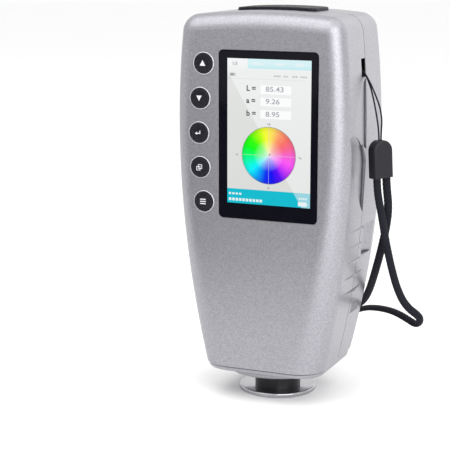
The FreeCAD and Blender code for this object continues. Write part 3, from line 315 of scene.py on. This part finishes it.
def silver_paint():
    """Metallic paint: flakes of two sizes, slight cloudiness and a fine orange peel under a thin coat."""
    s = Shader("silver_paint")
    s.set(Metallic=0.75, Coat_Weight=0.1, Coat_Roughness=0.2, Specular_IOR_Level=0.4)
    base = (0.345, 0.340, 0.368)
    cloud = s.ranged(s.noise(1300.0, 2.0), 0.0, 1.0, 0.30, 0.70)
    colour = s.mix(cloud, shade(base, 0.81), shade(base, 1.19))
    flakes = s.add("ShaderNodeSeparateColor")
    s.link(s.cells(6500.0), flakes.inputs["Color"])
    bright = s.ranged(flakes.outputs["Red"], 0.0, 1.0, 0.6, 1.0)
    dark = s.ranged(flakes.outputs["Green"], 0.0, 0.5, 0.6, 1.0)
    colour = s.mix(bright, colour, shade(base, 1.20))
    colour = s.mix(dark, colour, shade(base, 0.86))
    # Painted shade: the paint darkens towards a tenth of its colour in grooves, seams and corners.
    colour = s.mix(s.crease_shade(), colour, shade(base, 0.10))
    # Painted shade: the walls of the strap pocket are painted near black.
    s.color(s.mix(pocket_shade(s), colour, (0.004, 0.004, 0.006)))
    s.roughness(s.ranged(flakes.outputs["Blue"], 0.33, 0.43))
    peel = s.bump(s.noise(700.0), 0.06, 0.00006)
    s.normal(s.bump(s.noise(4200.0), 0.12, 0.00002, peel))
    return s.material


def textured_black():
    """Fine grained black moulding of the keys."""
    s = Shader("key_black")
    speckle = s.noise(2600.0, 2.0)
    s.set(Specular_IOR_Level=0.2)
    s.color(s.mix(s.ranged(speckle, 0.0, 1.0, 0.52, 0.75), (0.006, 0.006, 0.010), (0.045, 0.045, 0.055)))
    s.roughness(s.ranged(s.noise(500.0), 0.40, 0.58, 0.3, 0.7))
    s.normal(s.bump(s.noise(2600.0), 0.5, 0.00009))
    return s.material


def glossy_window():
    """Black printed border behind a clear window, with faint smears."""
    s = Shader("window_black")
    s.set(Specular_IOR_Level=0.12)
    smear = s.noise(90.0, 4.0)
    s.color(s.mix(smear, (0.003, 0.003, 0.006), (0.006, 0.006, 0.010)))
    s.roughness(s.ranged(smear, 0.05, 0.12, 0.3, 0.7))
    return s.material


def chrome():
    """Plated metal with turning marks round the port's axis and faint smears."""
    s = Shader("chrome")
    s.set(Metallic=1.0)
    smear = s.noise(160.0, 4.0)
    s.color(s.mix(smear, (0.40, 0.40, 0.42), (0.52, 0.52, 0.54)))
    s.roughness(s.ranged(smear, 0.05, 0.14, 0.3, 0.7))
    parts = s.add("ShaderNodeSeparateXYZ")
    s.link(s.place(), parts.inputs[0])
    across = s.math("MULTIPLY", parts.outputs["X"], parts.outputs["X"])
    along = s.math("MULTIPLY", parts.outputs["Y"], parts.outputs["Y"])
    radius = s.math("SQRT", s.math("ADD", across, along))
    rings = s.math("SINE", s.math("MULTIPLY", radius, 14000.0))
    s.normal(s.bump(rings, 0.04, 0.00001))
    return s.material


def woven(name, cells_round, cell_length, yarns):
    """Black woven cord: the weave follows the cord's own two directions."""
    s = Shader(name)
    s.set(Sheen_Weight=0.04, Sheen_Roughness=0.45, Specular_IOR_Level=0.12)
    uv = s.add("ShaderNodeUVMap", uv_map="cord")
    parts = s.add("ShaderNodeSeparateXYZ")
    s.link(uv.outputs["UV"], parts.inputs[0])
    turn = s.math("MULTIPLY", parts.outputs["X"], cells_round / 2)
    run = s.math("DIVIDE", parts.outputs["Y"], 2 * cell_length)
    rising = s.math("ADD", turn, run)
    falling = s.math("SUBTRACT", turn, run)
    wave_up = s.math("ABSOLUTE", s.math("SINE", s.math("MULTIPLY", rising, math.pi * yarns)))
    wave_down = s.math("ABSOLUTE", s.math("SINE", s.math("MULTIPLY", falling, math.pi * yarns)))
    weave = s.math("MULTIPLY", wave_up, wave_down)
    fluff = s.noise(5000.0, 3.0)
    tone = s.math("ADD", s.math("MULTIPLY", weave, 0.7), s.math("MULTIPLY", fluff, 0.3))
    s.color(s.mix(tone, (0.003, 0.003, 0.006), (0.022, 0.022, 0.032)))
    s.roughness(s.ranged(fluff, 0.62, 0.85))
    s.normal(s.bump(tone, 0.6, 0.00012))
    return s.material


def board():
    """Green board with faint copper tracks under the mask."""
    s = Shader("board_green")
    s.set(Coat_Weight=0.3, Coat_Roughness=0.2)
    tracks = s.add("ShaderNodeTexBrick")
    tracks.inputs["Scale"].default_value = 260.0
    tracks.inputs["Mortar Size"].default_value = 0.04
    s.link(s.place(), tracks.inputs["Vector"])
    patches = s.noise(400.0)
    base = s.mix(patches, (0.012, 0.11, 0.045), (0.02, 0.16, 0.065))
    s.color(s.mix(tracks.outputs["Fac"], base, (0.05, 0.26, 0.11)))
    s.roughness(s.ranged(patches, 0.30, 0.45))
    s.normal(s.bump(tracks.outputs["Fac"], 0.3, 0.00005))
    return s.material


def glass_like(name, colour, roughness, transmission):
    s = Shader(name)
    s.set(Transmission_Weight=transmission, IOR=1.5)
    haze = s.noise(300.0, 3.0)
    s.color(s.mix(haze, shade(colour, 0.94), colour))
    s.roughness(s.ranged(haze, roughness, roughness + 0.06))
    return s.material


def make_materials():
    """One material for each slot in the record."""
    return {
        "silver_paint": silver_paint(),
        "black_plastic": plain_material("black_plastic", (0.010, 0.010, 0.014), 0.36, grain=0.25,
                                        Specular_IOR_Level=0.3),
        "chrome": chrome(),
        "steel": plain_material("steel", (0.42, 0.42, 0.43), 0.32, Metallic=1.0),
        "window_black": glossy_window(),
        "foam": plain_material("foam", (0.03, 0.03, 0.03), 0.85, grain=0.8, grain_depth=0.0002),
        "panel_glass": glass_like("panel_glass", (0.60, 0.66, 0.68), 0.05, 0.2),
        "key_black": textured_black(),
        "ring_metal": plain_material("ring_metal", (0.66, 0.66, 0.70), 0.25, Metallic=0.35),
        "switch_plastic": plain_material("switch_plastic", (0.05, 0.05, 0.05), 0.45),
        "board_green": board(),
        "chip_black": plain_material("chip_black", (0.015, 0.015, 0.015), 0.55),
        "sphere_white": plain_material("sphere_white", (0.82, 0.82, 0.80), 0.75, mottle=0.03),
        "lamp_clear": glass_like("lamp_clear", (0.85, 0.88, 0.72), 0.08, 0.6),
        "barrel_black": plain_material("barrel_black", (0.02, 0.02, 0.02), 0.45, Metallic=0.6),
        "lens_glass": glass_like("lens_glass", (0.80, 0.86, 0.92), 0.02, 0.9),
        "battery_wrap": plain_material("battery_wrap", (0.03, 0.09, 0.26), 0.28, Coat_Weight=0.5),
        "gold_contact": plain_material("gold_contact", (0.70, 0.45, 0.14), 0.25, Metallic=1.0),
        "grey_rubber": plain_material("grey_rubber", (0.20, 0.20, 0.215), 0.60, grain=0.4),
        "strap_black": woven("strap_black", 16, 0.0009, 1),
    }


# Small mesh helper

def new_piece(name, vertices, faces, material, body, smooth=True):
    mesh = bpy.data.meshes.new(name)
    mesh.from_pydata([tuple(v) for v in vertices], [], faces)
    mesh.update()
    mesh.materials.append(material)
    for polygon in mesh.polygons:
        polygon.use_smooth = smooth
    piece = bpy.data.objects.new(name, mesh)
    bpy.context.scene.collection.objects.link(piece)
    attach(piece, body)
    return piece


# Camera, light and floor

def make_camera():
    data = bpy.data.cameras.new("camera")
    data.lens = CAMERA_LENS
    data.sensor_width = SENSOR_WIDTH
    data.clip_start = CLIP_NEAR
    data.clip_end = CLIP_FAR
    camera = bpy.data.objects.new("camera", data)
    camera.location = CAMERA_PLACE
    camera.rotation_euler = (math.radians(90 - CAMERA_PITCH), 0, math.radians(CAMERA_YAW))
    bpy.context.scene.collection.objects.link(camera)
    bpy.context.scene.camera = camera


def area_light(name, place, target, width, height, power):
    data = bpy.data.lights.new(name, "AREA")
    data.shape = "RECTANGLE"
    data.size = width
    data.size_y = height
    data.energy = power
    light = bpy.data.objects.new(name, data)
    light.location = place
    way = Vector(target) - Vector(place)
    light.rotation_euler = way.to_track_quat("-Z", "Y").to_euler()
    bpy.context.scene.collection.objects.link(light)


def make_world():
    world = bpy.data.worlds.new("world")
    bpy.context.scene.world = world
    world.use_nodes = True
    nodes, links = world.node_tree.nodes, world.node_tree.links
    background = nodes["Background"]
    background.inputs["Color"].default_value = (1.0, 1.0, 1.0, 1.0)
    path = nodes.new("ShaderNodeLightPath")
    clear = nodes.new("ShaderNodeMath")
    clear.operation = "MAXIMUM"
    links.new(path.outputs["Is Camera Ray"], clear.inputs[0])
    links.new(path.outputs["Is Transmission Ray"], clear.inputs[1])
    seen = nodes.new("ShaderNodeMath")
    seen.operation = "MAXIMUM"
    links.new(clear.outputs[0], seen.inputs[0])
    links.new(path.outputs["Is Glossy Ray"], seen.inputs[1])
    way = nodes.new("ShaderNodeTexCoord")
    toward = nodes.new("ShaderNodeVectorMath")
    toward.operation = "DOT_PRODUCT"
    toward.inputs[1].default_value = STUDIO_BRIGHT_WAY
    links.new(way.outputs["Generated"], toward.inputs[0])
    studio = nodes.new("ShaderNodeMapRange")
    studio.inputs["From Min"].default_value = -STUDIO_TURN
    studio.inputs["From Max"].default_value = STUDIO_TURN
    studio.inputs["To Min"].default_value = STUDIO_DIM
    studio.inputs["To Max"].default_value = STUDIO_BRIGHT
    links.new(toward.outputs["Value"], studio.inputs["Value"])
    level = nodes.new("ShaderNodeMix")
    links.new(seen.outputs[0], level.inputs["Factor"])
    links.new(studio.outputs["Result"], level.inputs["A"])
    level.inputs["B"].default_value = 1.0
    links.new(level.outputs["Result"], background.inputs["Strength"])


def stage_sheet(name, corners, dark, light, mirrored):
    """Flat sheet that looks white to the camera, and in the object's reflections where mirrored is set."""
    s = Shader(name)
    s.set(Specular_IOR_Level=0.1, Roughness=0.8)
    path = s.add("ShaderNodeLightPath")
    speck = s.mix(s.noise(8.0), dark, light)
    seen = s.math("MAXIMUM", path.outputs["Is Camera Ray"], path.outputs["Is Transmission Ray"])
    if mirrored:
        seen = s.math("MAXIMUM", seen, path.outputs["Is Glossy Ray"])
    s.color(s.mix(seen, speck, (0.99, 0.99, 0.99)))
    mesh = bpy.data.meshes.new(name)
    mesh.from_pydata([tuple(corner) for corner in corners], [], [(0, 1, 2, 3)])
    mesh.materials.append(s.material)
    sheet = bpy.data.objects.new(name, mesh)
    bpy.context.scene.collection.objects.link(sheet)


def make_floor():
    ends = ((-1, -1), (1, -1), (1, 1), (-1, 1))
    corners = [(FLOOR_REACH * x, FLOOR_REACH * y, 0) for x, y in ends]
    stage_sheet("floor", corners, (0.80, 0.80, 0.80), (0.83, 0.83, 0.83), True)


def make_dark_card():
    """Dark card that lies in front of the object, out of the picture, and darkens its flat front."""
    turn = math.radians(CARD_TURN)
    along = Vector((math.cos(turn), math.sin(turn), 0))
    across = Vector((-along.y, along.x, 0)) * CARD_WIDTH / 2
    lift = Vector((0, 0, CARD_LIFT))
    corners = [along * CARD_NEAR - across + lift, along * CARD_FAR - across + lift,
               along * CARD_FAR + across + lift, along * CARD_NEAR + across + lift]
    stage_sheet("dark_card", corners, (0.05, 0.045, 0.06), (0.07, 0.065, 0.08), False)


def make_lights():
    data = bpy.data.lights.new("sky_light", "SUN")
    data.energy = SKY_ENERGY
    data.angle = math.radians(SKY_SPREAD)
    sky = bpy.data.objects.new("sky_light", data)
    sky.rotation_euler = Vector(SKY_WAY).to_track_quat("-Z", "Y").to_euler()
    bpy.context.scene.collection.objects.link(sky)
    for lamp in LAMPS:
        area_light(*lamp)


# Strap

def curve_points(route):
    """Points along the smooth line of a route, read from its own spline."""
    data = bpy.data.curves.new("line", "CURVE")
    data.dimensions = "3D"
    spline = data.splines.new("NURBS")
    spline.points.add(len(route) - 1)
    for point, place in zip(spline.points, route):
        point.co = (*place, 1.0)
    spline.order_u = 3
    spline.use_endpoint_u = True
    spline.resolution_u = CURVE_STEPS
    line = bpy.data.objects.new("line", data)
    bpy.context.scene.collection.objects.link(line)
    mesh = bpy.data.meshes.new_from_object(line)
    points = [v.co.copy() for v in mesh.vertices]
    bpy.data.objects.remove(line)
    bpy.data.curves.remove(data)
    bpy.data.meshes.remove(mesh)
    return points


def even_points(points, step):
    """The same line with points a set distance apart."""
    lengths = [0.0]
    for a, b in zip(points, points[1:]):
        lengths.append(lengths[-1] + (b - a).length)
    count = max(2, round(lengths[-1] / step))
    result, index = [], 0
    for k in range(count + 1):
        target = lengths[-1] * k / count
        while index < len(points) - 2 and lengths[index + 1] < target:
            index += 1
        span = lengths[index + 1] - lengths[index]
        share = (target - lengths[index]) / span if span > 0 else 0.0
        result.append(points[index].lerp(points[index + 1], share))
    return result, lengths[-1]


def sweep(name, points, first_side, section, material, body):
    """Tube along points. section(turn, run) gives the two offsets across the line in metres."""
    count = len(points)
    ways = []
    for k in range(count):
        ahead = points[min(k + 1, count - 1)] - points[max(k - 1, 0)]
        ways.append(ahead.normalized())
    side = (first_side - ways[0] * first_side.dot(ways[0])).normalized()
    sides = [side]
    for before, here in zip(ways, ways[1:]):
        side = before.rotation_difference(here) @ side
        side = (side - here * side.dot(here)).normalized()
        sides.append(side)
    around = section.around
    vertices, faces, uvs = [], [], []
    run = 0.0
    runs = []
    for k in range(count):
        if k:
            run += (points[k] - points[k - 1]).length
        runs.append(run)
        other = ways[k].cross(sides[k])
        for j in range(around):
            a, b = section(j / around, run)
            vertices.append(points[k] + sides[k] * a + other * b)
    for k in range(count - 1):
        for j in range(around):
            nxt = (j + 1) % around
            faces.append((k * around + j, k * around + nxt, (k + 1) * around + nxt, (k + 1) * around + j))
            uvs += [(j / around, runs[k]), ((j + 1) / around, runs[k]),
                    ((j + 1) / around, runs[k + 1]), (j / around, runs[k + 1])]
    for k, flip in ((0, True), (count - 1, False)):
        ring = [k * around + j for j in range(around)]
        faces.append(tuple(reversed(ring)) if flip else tuple(ring))
        uvs += [(0.0, runs[k])] * around
    piece = new_piece(name, vertices, faces, material, body)
    layer = piece.data.uv_layers.new(name="cord")
    for index, uv in enumerate(uvs):
        layer.data[index].uv = uv
    return piece


class Braid:
    """Section of a flat woven cord: an oval with raised strands that cross."""
    around = 36

    def __init__(self, half_width, half_depth, cells, cell_length, relief):
        self.half_width = half_width
        self.half_depth = half_depth
        self.cells = cells
        self.cell_length = cell_length
        self.relief = relief

    def __call__(self, turn, run):
        angle = 2 * math.pi * turn
        rising = turn * self.cells / 2 + run / (2 * self.cell_length)
        falling = turn * self.cells / 2 - run / (2 * self.cell_length)
        wave = abs(math.sin(math.pi * rising)) * abs(math.sin(math.pi * falling))
        out = 1.0 - self.relief * (1.0 - wave)
        return self.half_width * out * math.cos(angle), self.half_depth * out * math.sin(angle)


class Twist:
    """Section of a thin twisted string of three yarns."""
    around = 15

    def __init__(self, radius, pitch, relief):
        self.radius = radius
        self.pitch = pitch
        self.relief = relief

    def __call__(self, turn, run):
        angle = 2 * math.pi * turn
        lobe = abs(math.cos(1.5 * (angle - 2 * math.pi * run / self.pitch)))
        out = self.radius * (1.0 - self.relief * (1.0 - lobe))
        return out * math.cos(angle), out * math.sin(angle)


def make_strap(materials):
    points, length = even_points(curve_points(STRING_ROUTE), STRING_STEP)
    twist = Twist(STRING_DIAMETER / 2, STRING_PITCH, STRING_RELIEF)
    string = sweep("string", points, Vector((1, 0, 0)), twist,
                   materials["strap_black"], "casing")
    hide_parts("strap_string")
    print("string length", length)
    points, length = even_points(curve_points(LOOP_ROUTE), LOOP_STEP)
    turn = math.radians(FERRULE_TURN)
    wide = Vector((math.cos(turn), math.sin(turn), 0))
    braid = Braid(LOOP_HALF_WIDTH, LOOP_HALF_DEPTH, LOOP_STRANDS, LOOP_STRAND_LENGTH, LOOP_RELIEF)
    loop = sweep("loop", points, wide, braid, materials["strap_black"], "casing")
    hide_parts("wrist_loop")
    print("loop length", length)


# Keys

def key_centre(name):
    low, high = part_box(name)
    return (low.x + high.x) / 2, low.y, (low.z + high.z) / 2


def symbol(name, outlines, key, material):
    """White mark on a dished key: flat outlines in millimetres, laid on the dish."""
    x0, front, z0 = key_centre(key)
    vertices, faces = [], []
    for outline in outlines:
        start = len(vertices)
        count = len(outline)
        for lift in (0.0, SYMBOL_THICKNESS):
            for u, v in outline:
                u, v = u * MM + SYMBOL_SHIFT, v * MM
                sphere = math.sqrt(KEY_DISH_RADIUS ** 2 - u * u - v * v)
                dish = front + KEY_DISH_DEPTH - KEY_DISH_RADIUS + sphere
                vertices.append((x0 + u, dish - SYMBOL_PROUD + lift, z0 + v))
        faces.append(tuple(range(start, start + count)))
        faces.append(tuple(range(start + 2 * count - 1, start + count - 1, -1)))
        for k in range(count):
            nxt = (k + 1) % count
            faces.append((start + nxt, start + k, start + count + k, start + count + nxt))
    return new_piece(name, vertices, faces, material, key, smooth=False)


def bar(x0, x1, z0, z1, steps=6):
    """Outline of a bar, with extra points so that it follows the dish."""
    low = [(x0 + (x1 - x0) * k / steps, z0) for k in range(steps + 1)]
    return low + [(x, z1) for x, _ in reversed(low)]


def make_symbols():
    white = plain_material("symbol_white", (0.80, 0.80, 0.82), 0.5, mottle=0.04)
    symbol("symbol_up", [[(-1.6, -1.3), (1.6, -1.3), (0.0, 1.6)]], "key_up", white)
    symbol("symbol_down", [[(-1.5, 1.35), (0.0, -1.45), (1.5, 1.35)]], "key_down", white)
    arrow = [(-1.65, -0.30), (-0.60, -1.15), (-0.60, -0.55), (1.35, -0.55), (1.35, 1.10), (0.85, 1.10),
             (0.85, -0.05), (-0.60, -0.05), (-0.60, 0.55)]
    symbol("symbol_enter", [arrow], "key_enter", white)
    frame_width = 0.34
    squares = []
    for x0, z0, x1, z1 in ((-1.6, -1.7, 0.6, 0.5), (-0.7, -0.8, 1.6, 1.5)):
        squares.append(bar(x0, x1, z0, z0 + frame_width))
        squares.append(bar(x0, x1, z1 - frame_width, z1))
        squares.append(bar(x0, x0 + frame_width, z0 + frame_width, z1 - frame_width, 1))
        squares.append(bar(x1 - frame_width, x1, z0 + frame_width, z1 - frame_width, 1))
    symbol("symbol_back", squares, "key_back", white)
    rows = [bar(-1.6, 1.6, z - 0.27, z + 0.27) for z in (-1.15, 0.0, 1.15)]
    symbol("symbol_menu", rows, "key_menu", white)


# Display picture

def inside(s, value, low, high):
    """1 where a value lies between two bounds."""
    above = s.math("GREATER_THAN", value, low)
    below = s.math("LESS_THAN", value, high)
    return s.math("MULTIPLY", above, below)


def screen_material():
    """Lit picture: header, rows, colour wheel and footer, with a pale diagonal sheen painted over it as a
    painted reflection.
    """
    s = Shader("screen")
    s.set(Specular_IOR_Level=0.12, Roughness=0.08)
    parts = s.add("ShaderNodeSeparateXYZ")
    s.link(s.place(), parts.inputs[0])
    x = s.math("MULTIPLY", parts.outputs["X"], 1000.0)
    z = s.math("MULTIPLY", parts.outputs["Z"], 1000.0)

    picture = s.mix(s.ranged(z, 0.0, 1.0, SCREEN_LOW, SCREEN_HIGH), (0.70, 0.71, 0.69), (0.76, 0.77, 0.76))
    above = s.math("GREATER_THAN", z, HEADER_BOTTOM)
    header = s.math("MULTIPLY", above, s.math("GREATER_THAN", x, TAB_RIGHT))
    picture = s.mix(header, picture, (0.10, 0.66, 0.72))
    rule = s.math("MULTIPLY", inside(s, z, *RULE), s.math("LESS_THAN", x, RULE_RIGHT))
    picture = s.mix(rule, picture, (0.60, 0.60, 0.62))
    for low, high in BOXES:
        row = s.math("MULTIPLY", inside(s, z, low, high), inside(s, x, BOX_LEFT, BOX_RIGHT))
        picture = s.mix(row, picture, (0.95, 0.95, 0.95))
    footer = s.math("LESS_THAN", z, FOOTER_TOP)
    picture = s.mix(footer, picture, (0.004, 0.50, 0.62))

    dx = s.math("SUBTRACT", x, WHEEL_X)
    dz = s.math("SUBTRACT", z, WHEEL_Z)
    radius = s.math("SQRT", s.math("ADD", s.math("MULTIPLY", dx, dx), s.math("MULTIPLY", dz, dz)))
    angle = s.math("ARCTAN2", dz, dx)
    turn = s.ranged(angle, 0.0, 1.0, -math.pi, math.pi)
    hues = s.add("ShaderNodeValToRGB")
    ramp = hues.color_ramp
    ramp.elements[0].position = 0.0
    ramp.elements[0].color = (0.001, 0.97, 0.14, 1.0)
    ramp.elements[1].position = 1.0
    ramp.elements[1].color = (0.001, 0.97, 0.14, 1.0)
    stops = (
        (0.055, (0.001, 0.95, 0.53)), (0.11, (0.001, 0.88, 0.97)), (0.167, (0.001, 0.35, 0.93)),
        (0.222, (0.001, 0.03, 0.87)), (0.278, (0.003, 0.001, 0.87)), (0.333, (0.095, 0.001, 0.94)),
        (0.389, (0.60, 0.04, 0.92)), (0.444, (0.95, 0.09, 0.92)), (0.50, (0.93, 0.12, 0.67)),
        (0.555, (0.95, 0.13, 0.30)), (0.611, (0.93, 0.17, 0.14)), (0.667, (0.97, 0.33, 0.14)),
        (0.722, (0.97, 0.72, 0.11)), (0.778, (0.90, 0.97, 0.03)), (0.833, (0.35, 0.98, 0.001)),
        (0.889, (0.035, 0.97, 0.001)), (0.944, (0.001, 0.97, 0.005)),
    )
    for position, colour in stops:
        element = ramp.elements.new(position)
        element.color = (*colour, 1.0)
    s.link(turn, hues.inputs["Fac"])
    saturation = s.math("POWER", s.ranged(radius, 0.0, 1.0, 0.0, 8.2), 0.50)
    disc = s.mix(saturation, (0.92, 0.92, 0.92), hues.outputs["Color"])
    disc = s.mix(s.ranged(radius, 0.0, 0.22, 12.0, 14.6), disc, (0.01, 0.01, 0.01))
    on_wheel = s.math("LESS_THAN", radius, WHEEL_RADIUS)
    off_wheel = s.math("SUBTRACT", 1.0, on_wheel)
    picture = s.mix(on_wheel, picture, disc)

    # Painted reflection: a pale diagonal sheen of glare over the picture, stronger towards the top and
    # kept off the colour wheel.
    fall = s.math("MULTIPLY", s.math("SUBTRACT", SHEEN_TOP, z), SHEEN_SLOPE)
    line = s.math("SUBTRACT", x, s.math("ADD", fall, SHEEN_LEFT))
    lit = s.ranged(line, 0.0, 1.0, -SHEEN_EDGE, SHEEN_EDGE)
    strength = s.math("MULTIPLY", s.ranged(z, 0.32, 0.42, 110.0, 165.0), off_wheel)
    far = s.ranged(z, 0.0, 0.66, 168.0, 179.0)
    strength = s.math("MAXIMUM", strength, far)
    picture = s.mix(s.math("MULTIPLY", lit, strength), picture, (0.97, 0.985, 1.0))
    s.set(Base_Color=(0.004, 0.004, 0.004, 1.0), Emission_Strength=1.0)
    s.link(picture, s.shader.inputs["Emission Color"])
    return s.material


def lit_material(name, colour, strength=0.9):
    """Small lit mark on the display, slightly uneven like its pixels."""
    s = Shader(name)
    dots = s.noise(3000.0)
    s.link(s.mix(dots, shade(colour, 0.9), shade(colour, 1.1)), s.shader.inputs["Emission Color"])
    s.set(Base_Color=(0.02, 0.02, 0.02, 1.0), Emission_Strength=strength, Roughness=0.3)
    return s.material


def flat_mark(name, outlines, layer, material):
    """Flat outlines on the display, in millimetres of the front view."""
    y = screen_front() - layer * LAYER
    vertices, faces = [], []
    for outline in outlines:
        start = len(vertices)
        vertices += [(x * MM, y, z * MM) for x, z in outline]
        faces.append(tuple(range(start, start + len(outline))))
    return new_piece(name, vertices, faces, material, "casing", smooth=False)


def screen_front():
    low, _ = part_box("display_window")
    return low.y - PICTURE_GAP


def rectangle(x0, x1, z0, z1):
    return [(x0, z0), (x1, z0), (x1, z1), (x0, z1)]


def words(name, text, x, z, size, layer, material, bold=0.0, stretch=1.0):
    """Generic lettering on the display as a flat mesh, stretched sideways."""
    data = bpy.data.curves.new(name, "FONT")
    data.body = text
    data.size = size * MM
    data.offset = bold * MM
    data.resolution_u = 4
    text_object = bpy.data.objects.new(name + "_text", data)
    bpy.context.scene.collection.objects.link(text_object)
    mesh = bpy.data.meshes.new_from_object(text_object)
    bpy.data.objects.remove(text_object)
    bpy.data.curves.remove(data)
    y = screen_front() - layer * LAYER
    for vertex in mesh.vertices:
        vertex.co = (x * MM + vertex.co.x * stretch, y, z * MM + vertex.co.y)
    mesh.name = name
    mesh.materials.clear()
    mesh.materials.append(material)
    piece = bpy.data.objects.new(name, mesh)
    bpy.context.scene.collection.objects.link(piece)
    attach(piece, "casing")
    return piece


def make_screen():
    picture = screen_material()
    outline = rectangle(SCREEN_LEFT, SCREEN_RIGHT, SCREEN_LOW, SCREEN_HIGH)
    flat_mark("screen_picture", [outline], 0, picture)
    dark = lit_material("mark_dark", (0.06, 0.06, 0.07))
    grey = lit_material("mark_grey", (0.25, 0.25, 0.28))
    light = lit_material("mark_light", (0.40, 0.41, 0.45))
    faint = lit_material("mark_faint", (0.52, 0.53, 0.56))
    pale = lit_material("mark_pale", (0.85, 0.97, 1.0))
    rows = (("L =", "85.43", 165.2), ("a =", "9.26", 159.0), ("b =", "8.95", 152.5))
    for index, (letter, number, z) in enumerate(rows):
        words(f"row_letter_{index}", letter, -6.3, z, 3.9, 1, dark, 0.12)
        words(f"row_number_{index}", number, 4.2, z, 3.6, 1, light, 0.06, 1.26)
    words("axis_top", "+b", 5.0, 148.0, 1.9, 1, grey, 0.03)
    words("axis_low", "-b", 5.1, 115.3, 1.9, 1, grey, 0.03)
    words("axis_left", "-a", -12.2, 131.8, 1.9, 1, grey, 0.03)
    words("axis_right", "+a", 22.0, 131.8, 1.9, 1, grey, 0.03)
    words("tab_number", "1/3", -14.2, 178.0, 2.4, 1, grey, 0.04)
    words("row_name", "001", -15.3, 172.5, 2.2, 1, dark, 0.05)
    header_places = (
        (8.8, 1.1), (10.2, 1.1), (11.6, 0.7), (13.9, 1.2), (15.4, 0.8),
        (18.6, 1.2), (20.2, 1.2), (22.9, 1.0), (24.2, 1.0), (25.5, 0.9),
    )
    flat_mark("header_marks", [rectangle(x, x + w, 172.7, 173.5) for x, w in header_places], 1, faint)
    tab_places = (
        (-2.9, 1.2), (-1.4, 1.2), (0.1, 1.2), (1.6, 1.0), (9.8, 1.2),
        (11.3, 1.2), (12.8, 1.0), (20.2, 1.2), (21.7, 1.2), (23.2, 1.0),
    )
    flat_mark("tab_marks", [rectangle(x, x + w, 178.3, 179.6) for x, w in tab_places], 1, pale)
    low = [rectangle(-15.9 + 1.9 * k, -14.5 + 1.9 * k, 108.1, 109.5) for k in range(10)]
    low += [rectangle(-15.9 + 1.9 * k, -14.6 + 1.9 * k, 111.3, 112.3) for k in range(4)]
    low += [rectangle(22.6 + 1.2 * k, 23.4 + 1.2 * k, 111.0, 112.0) for k in range(4)]
    flat_mark("footer_marks", low, 1, pale)
    battery = [rectangle(22.3, 26.8, 107.6, 109.8), rectangle(26.8, 27.3, 108.2, 109.2)]
    flat_mark("battery_mark", battery, 1, pale)
    upright = rectangle(WHEEL_X - WHEEL_AXIS, WHEEL_X + WHEEL_AXIS,
                        WHEEL_Z - WHEEL_RADIUS, WHEEL_Z + WHEEL_RADIUS)
    level = rectangle(WHEEL_X - WHEEL_RADIUS, WHEEL_X + WHEEL_RADIUS,
                      WHEEL_Z - WHEEL_AXIS, WHEEL_Z + WHEEL_AXIS)
    flat_mark("wheel_axes", [upright, level], 1, lit_material("mark_axes", (0.65, 0.65, 0.68)))
    inner, outer = WHEEL_RIM
    ring = []
    for k in range(WHEEL_STEPS):
        quad = []
        for angle, radius in ((k, inner), (k + 1, inner), (k + 1, outer), (k, outer)):
            a = 2 * math.pi * angle / WHEEL_STEPS
            quad.append((WHEEL_X + radius * math.cos(a), WHEEL_Z + radius * math.sin(a)))
        ring.append(quad)
    flat_mark("wheel_rim", ring, 2, grey)
    angles = [k * math.pi / 6 for k in range(12)]
    dot = [(DOT_X + DOT_RADIUS * math.cos(a), DOT_Z + DOT_RADIUS * math.sin(a)) for a in angles]
    flat_mark("wheel_dot", [dot], 2, grey)


# Build

bpy.context.scene.view_settings.view_transform = "Standard"
make_camera()
materials = make_materials()
make_strap(materials)
for subpart in frame["record"]["subparts"]:
    node = frame["nodes"][subpart["node"]]
    node.data.materials.clear()
    node.data.materials.append(materials[subpart["material_slot"]])
make_symbols()
make_screen()
make_world()
make_floor()
make_dark_card()
make_lights()
